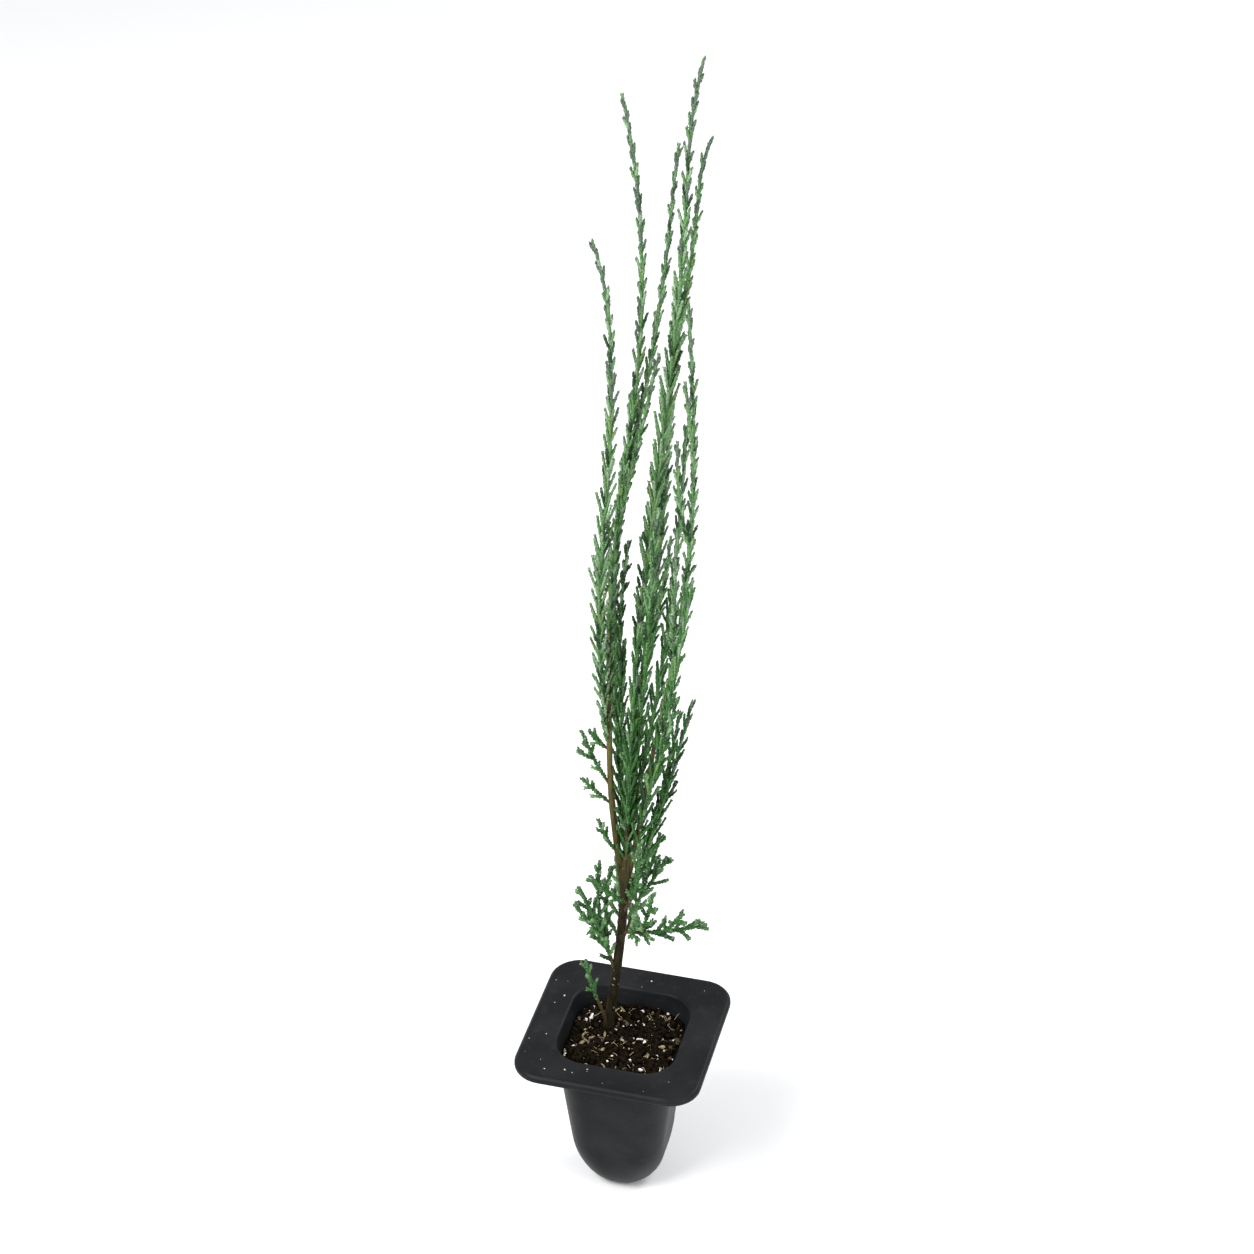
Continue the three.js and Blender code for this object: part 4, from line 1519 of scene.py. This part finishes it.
@dataclass(frozen=True)
class Tinting:
    """How tints are dealt out to sprays, by weights that are set against each other. They paint shade low
    down and deep inside the crown, and light high up.
    """

    lit_height: float = 260.0  # over the rim, where the crown's painted light is fullest
    sheltered: Pair = (230.0, 170.0)  # over the rim, where a plume is in the open and where it is sheltered, so where its painted shade begins and where it is full
    deep: Pair = (0.55, 0.06)  # at the rim and at the lit height: more of it low down, as painted shade
    shaded: float = 0.5  # what is added to it deep inside the crown, as painted shade
    lush: Pair = (0.0, 1.2)  # in the open and where it is sheltered: a darker tint, partly the plumes' own colour and partly painted shade
    mid: Pair = (0.45, 0.15)  # the same
    light: Pair = (0.04, 0.42)  # at the rim and at the lit height: more of it high up, as painted light
    light_left: Pair = (1.0, 0.3)  # how much of it is left in the open and where it is sheltered
    warm: Pair = (0.14, 0.0)  # at the outside and deep inside the crown
    young: Place = (0.6, 0.2, 0.2)  # young, middle and deep tint on young growth
    dusky_start: float = 0.6  # share of a shoot's length from which its sprays may be dusky

    def weights(self, mass: Mass, rise: float) -> dict[Tint, float]:
        """The weight of each tint that a spray may have, which paints shade low down and inside the crown
        and light high up.

        Args:
            mass: The mass that it belongs to.
            rise: Its height over the rim.

        Returns:
            The weights.
        """
        if mass.habit.is_young:
            return dict(zip((Tint.YOUNG, Tint.MID, Tint.DEEP), self.young))
        lit_share = clamped(rise / self.lit_height)
        start, full = self.sheltered
        lush = clamped((start - rise) / (start - full)) if mass.habit is Habit.PLUME else 0.0
        return {
            Tint.DEEP: lerp(self.deep, lit_share) + self.shaded * mass.shade,
            Tint.LUSH: lerp(self.lush, lush),
            Tint.MID: lerp(self.mid, lush),
            Tint.LIGHT: lerp(self.light, lit_share) * lerp(self.light_left, lush),
            Tint.WARM: lerp(self.warm, mass.shade),
        }


@dataclass
class Growth:
    """One mass as it grows: its shoots, their sprays and the sprays' branches, clad in scale leaves."""

    foliage: Foliage
    mass: Mass
    random: np.random.Generator
    facets: int = 6  # of every stem
    stem_step: float = 2.5  # from ring to ring of a shoot's stem
    fewest_rings: int = 8
    skin: float = 0.98  # radius of a shoot's green part over its brown part's
    clad: float = 0.8  # share of the brown part where its leaves begin
    shoot_leaves: Pair = (1.2, 1.1)  # size of the leaves on a shoot and at its tip
    dusky_from: Pair = (0.78, 0.9)  # share of an older and of a young shoot where its tip turns dusky
    beyond: float = 3.0  # how far the last sprays reach past a shoot's tip
    strays: float = 18.0  # degrees that a spray may stand off its place round the shoot
    spacings: Pair = (0.8, 1.2)  # what chance multiplies the sprays' spacing by
    reaches: Pair = (0.75, 1.12)  # and their reach
    leans: Pair = (0.75, 1.25)  # and their angle
    outgrown: float = 3.0  # power by which a shoot's own reach gives way to its habit's
    tip_share: float = 0.84  # of a spray's length, where the tint of its tip begins
    tip_leaves: float = 0.9  # size of the leaves there
    branched_part: Pair = (0.22, 0.88)  # the part of a spray that bears branches
    branched_share: float = 0.7  # of a spray's length, from which its branches are counted
    branch_places: Pair = (0.2, 0.8)  # where in its own stretch of the spray a branch may stand
    branch_strays: float = 0.4  # how far its direction may turn out of the spray's plane
    branch_reaches: Pair = (0.7, 1.2)
    branch_leans: Pair = (0.8, 1.2)
    branch_bend: float = 0.5
    branch_stem: Pair = (0.2, 1.0)  # the part of a spray's taper that its branches have
    branch_thickness: float = 0.92
    tinting: Tinting = Tinting()

    @property
    def habit(self) -> HabitSizes:
        """How the mass grows."""
        return self.mass.habit.value

    @property
    def young(self) -> bool:
        """Whether it is young growth."""
        return self.mass.habit.is_young

    def grow(self) -> None:
        """Grows every shoot with its sprays."""
        for shoot in self.foliage.plant.shoots(self.mass):
            self._grow_stem(shoot)
            self._grow_sprays(shoot)

    def _grow_stem(self, shoot: Shoot) -> None:
        """Grows a shoot's own stem, brown at its foot, and the leaves on it.

        Args:
            shoot: The shoot.
        """
        line, foliage, scale = shoot.line, self.foliage, self.habit.scale
        shares = np.linspace(0, 1, max(self.fewest_rings, round(line.length / self.stem_step)))
        centre = line.points(shares)
        ahead = line.tangent(1.0) * self.beyond
        centre = np.concatenate([centre, centre[-1] + [ahead / 2, ahead]])
        shares = np.append(shares, [1.0, 1.0])
        stem = Cord(centre, lerp(shoot.radii, shares))
        bare = max(self.habit.woody, self.mass.bare)
        woody = max(0.0, (bare - shoot.start) / (1 - shoot.start))
        turns = int(np.searchsorted(shares, woody))
        if turns > 0:
            brown = Cord(stem.centre[: turns + 1], stem.radii[: turns + 1])
            foliage.brown_stems.add(*brown.tube(self.facets))
        green = Cord(stem.centre[turns:], stem.radii[turns:] * self.skin)
        own = Tint.YOUNG if self.young else Tint.MID
        foliage.stems[own].add(*green.tube(self.facets))
        dusky = self.dusky_from[1 if self.young else 0]
        spans = {own: (woody * self.clad, dusky), Tint.DUSKY: (dusky, 1.0)}
        for (tint, span), size in zip(spans.items(), self.shoot_leaves):
            foliage.leaves[tint].add(*scale.leaves(stem, self.random, span, size))

    def _grow_sprays(self, shoot: Shoot) -> None:
        """Grows sprays round a shoot, from its foot to its tip.

        Args:
            shoot: The shoot.
        """
        turn = 360 * self.random.random()
        share = max(self.habit.start, self.mass.bare)
        while share < 1:
            turn += self.foliage.plant.turn + self.random.uniform(-self.strays, self.strays)
            self._grow_spray(shoot, share, turn)
            ripe = lerp((shoot.start, 1.0), share) ** self.habit.crowding
            spacing = lerp(self.habit.spacing, ripe) * self.random.uniform(*self.spacings)
            share += spacing / shoot.line.length

    def _grow_spray(self, shoot: Shoot, share: float, turn: float) -> None:
        """Grows one spray from a shoot, with its branches where it has any.

        Args:
            shoot: The shoot.
            share: How far along the shoot it stands.
            turn: Its side of the shoot, in degrees round it.
        """
        habit, line, random = self.habit, shoot.line, self.random
        root, tangent = line.point(share), line.tangent(share)
        left = (1 - share) * line.length + self.beyond
        ripe = lerp((shoot.start, 1.0), share)
        swell = min(1.0, habit.low_reach + habit.swelling * ripe)
        swell *= lerp((shoot.reach, 1.0), ripe**self.outgrown)
        reach = lerp(habit.reach, ripe**habit.fullness) * swell * random.uniform(*self.reaches)
        lean = lerp(habit.angle, math.sqrt(ripe)) * random.uniform(*self.leans)
        centre = bent_line(root, tangent, side_of(tangent, turn), lean, min(reach, left), habit.bend)
        stem = Cord(centre, lerp(habit.stem, np.linspace(0, 1, len(centre))))
        tints = self._tints(root[2], share)
        self._clothe(stem, tints)
        if random.random() < lerp(habit.branched, ripe):
            self._grow_branches(stem, side_of(tangent, turn + 90), tints)

    def _grow_branches(self, stem: Cord, flat: np.ndarray, tints: tuple[Tint, Tint]) -> None:
        """Grows branches to the left and right of a spray in turn.

        Args:
            stem: The spray's stem.
            flat: The direction across the spray.
            tints: Its tint and the tint of its tips.
        """
        habit, random = self.habit, self.random
        count = int(stem.length * self.branched_share / habit.branch_spacing)
        for index in range(count):
            share = lerp(self.branched_part, (index + random.uniform(*self.branch_places)) / count)
            (root,), (heading,), _ = stem.at(np.array([share * stem.length]))
            way = flat * (1 if index % 2 else -1)
            way = way + random.uniform(-self.branch_strays, self.branch_strays, 3)
            way = unit(way - heading * np.dot(way, heading))
            left = (1 - share) * stem.length + self.beyond / 2
            reach = min(lerp(habit.branch_reach, share) * random.uniform(*self.branch_reaches), left)
            lean = habit.branch_angle * random.uniform(*self.branch_leans)
            centre = bent_line(root, heading, way, lean, reach, self.branch_bend)
            taper = np.linspace(*self.branch_stem, len(centre))
            self._clothe(Cord(centre, lerp(habit.stem, taper) * self.branch_thickness), tints)

    def _clothe(self, stem: Cord, tints: tuple[Tint, Tint]) -> None:
        """Makes a stem and puts leaves on it, the last of them in the tint of the tips.

        Args:
            stem: The stem.
            tints: Its tint and the tint of its tip.
        """
        scale, leaves = self.habit.scale, self.foliage.leaves
        self.foliage.stems[tints[0]].add(*stem.tube(self.facets))
        leaves[tints[0]].add(*scale.leaves(stem, self.random, (0.0, self.tip_share)))
        leaves[tints[1]].add(*scale.leaves(stem, self.random, (self.tip_share, 1.0), self.tip_leaves))

    def _tints(self, height: float, share: float) -> tuple[Tint, Tint]:
        """Deals a spray its tints.

        Args:
            height: Its height over the floor.
            share: How far along its shoot it stands.

        Returns:
            Its tint and the tint of its tip.
        """
        if not self.young and self.random.random() < (share - self.tinting.dusky_start) * self.habit.dusky:
            return Tint.DUSKY, Tint.DUSKY
        weights = self.tinting.weights(self.mass, height - self.foliage.plant.cell.height)
        odds = np.array(list(weights.values()))
        tint = self.random.choice(list(weights), p=odds / odds.sum())
        if self.young:
            return tint, Tint.BLUNT
        return tint, Tint.LUSH if tint is Tint.LUSH else Tint.DUSKY


def side_of(tangent: np.ndarray, turn: float) -> np.ndarray:
    """A direction at right angles to a stem, turned round it by some degrees."""
    first, second = across(tangent)
    return first * math.cos(math.radians(turn)) + second * math.sin(math.radians(turn))


SPRAY_STEP = 2.0  # from point to point of a spray's line
FEWEST_POINTS = 4


def bent_line(
    root: np.ndarray, tangent: np.ndarray, side: np.ndarray, lean: float, reach: float, bend: float
) -> np.ndarray:
    """The line of a spray that leans out and then bends back up.

    Args:
        root: Where it starts.
        tangent: The direction of what it grows on.
        side: The side that it leans to.
        lean: Its angle at the root, in degrees.
        reach: Its length.
        bend: The share of the angle that it loses towards its tip.

    Returns:
        Points along it.
    """
    count = max(FEWEST_POINTS, round(reach / SPRAY_STEP) + 1)
    leans = np.radians(lean * (1 - bend * np.linspace(0, 1, count)))
    headings = np.cos(leans)[:, None] * tangent + np.sin(leans)[:, None] * side
    moves = headings[:-1] * reach / (count - 1)
    return np.concatenate([root[None], root + np.cumsum(moves, axis=0)])


# The studio


@dataclass(frozen=True)
class Lamp:
    """A soft square lamp."""

    name: str
    place: Place
    size: float
    power: float
    colour: Colour = WHITE


@dataclass
class Studio:
    """The pale floor, the soft light and the camera, in millimetres like the rest."""

    cell: Cell
    eye: Place = (220.9, -838.6, 755.3)  # the camera, its height over the rim
    target: Place = (1.0, 1.0, 186.0)  # the middle of the plant, its height over the rim
    lens: float = 84.0
    sight: Pair = (10.0, 100_000.0)  # the nearest and the farthest that it sees
    floor: FloorFinish = FloorFinish()
    floor_half: float = 9000.0
    sky: Colour = (0.96, 0.97, 1.0)
    sky_strength: float = 0.62
    lamps: tuple[Lamp, ...] = (
        Lamp("key", (-750, -900, 1500), 850, 31),
        Lamp("fill", (1200, -500, 900), 1000, 8, (0.97, 0.98, 1.0)),
        Lamp("rear", (900, 1000, 1200), 800, 14),
    )

    def build(self) -> None:
        """Makes the floor, the lamps, the sky and the camera."""
        self._lay_floor()
        for lamp in self.lamps:
            self._hang(lamp)
        self._light_sky()
        self._place_camera()

    def _over_rim(self, place: Place) -> Vector:
        """A place in metres whose height is given over the rim."""
        return Vector((place[0], place[1], place[2] + self.cell.height)) * MM

    def _aim(self, made: bpy.types.Object, place: Vector) -> None:
        """Puts a lamp or the camera in its place and turns it to the middle of the plant."""
        made.location = place
        made.rotation_euler = (self._over_rim(self.target) - place).to_track_quat("-Z", "Y").to_euler()

    def _lay_floor(self) -> None:
        """A wide plain floor that isn't part of the object."""
        half = self.floor_half * MM
        mesh = bpy.data.meshes.new("floor")
        corners = [(-half, -half, 0), (half, -half, 0), (half, half, 0), (-half, half, 0)]
        mesh.from_pydata(corners, [], [(0, 1, 2, 3)])
        mesh.materials.append(self.floor.material())
        floor = placed("floor", mesh)

    def _hang(self, lamp: Lamp) -> None:
        """Hangs one lamp.

        Args:
            lamp: The lamp.
        """
        light = bpy.data.lights.new(lamp.name, "AREA")
        light.size = lamp.size * MM
        light.energy = lamp.power
        light.color = lamp.colour
        self._aim(placed(lamp.name, light), Vector(lamp.place) * MM)

    def _light_sky(self) -> None:
        """An even pale sky."""
        world = bpy.data.worlds.new("studio")
        world.use_nodes = True
        background = world.node_tree.nodes["Background"]
        background.inputs["Color"].default_value = (*self.sky, 1.0)
        background.inputs["Strength"].default_value = self.sky_strength
        bpy.context.scene.world = world

    def _place_camera(self) -> None:
        """The camera where the photograph was taken from."""
        data = bpy.data.cameras.new("camera")
        data.lens = self.lens
        data.clip_start, data.clip_end = (distance * MM for distance in self.sight)
        camera = placed("camera", data)
        self._aim(camera, self._over_rim(self.eye))
        bpy.context.scene.camera = camera
        bpy.context.scene.view_settings.view_transform = "Standard"


def write_sizes() -> None:
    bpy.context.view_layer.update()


def main() -> None:
    """Builds the pot, the mix, the plant and the studio in order."""
    logging.basicConfig(level=logging.INFO, format="%(name)s %(message)s")
    cell = Cell()
    plant = Juniper(cell)
    cell.build()
    PottingMix(cell, plant.trunk_foot[:2]).build()
    RimDust(cell).build()
    plant.build()
    Studio(cell).build()
    write_sizes()


if __name__ == "__main__":
    main()
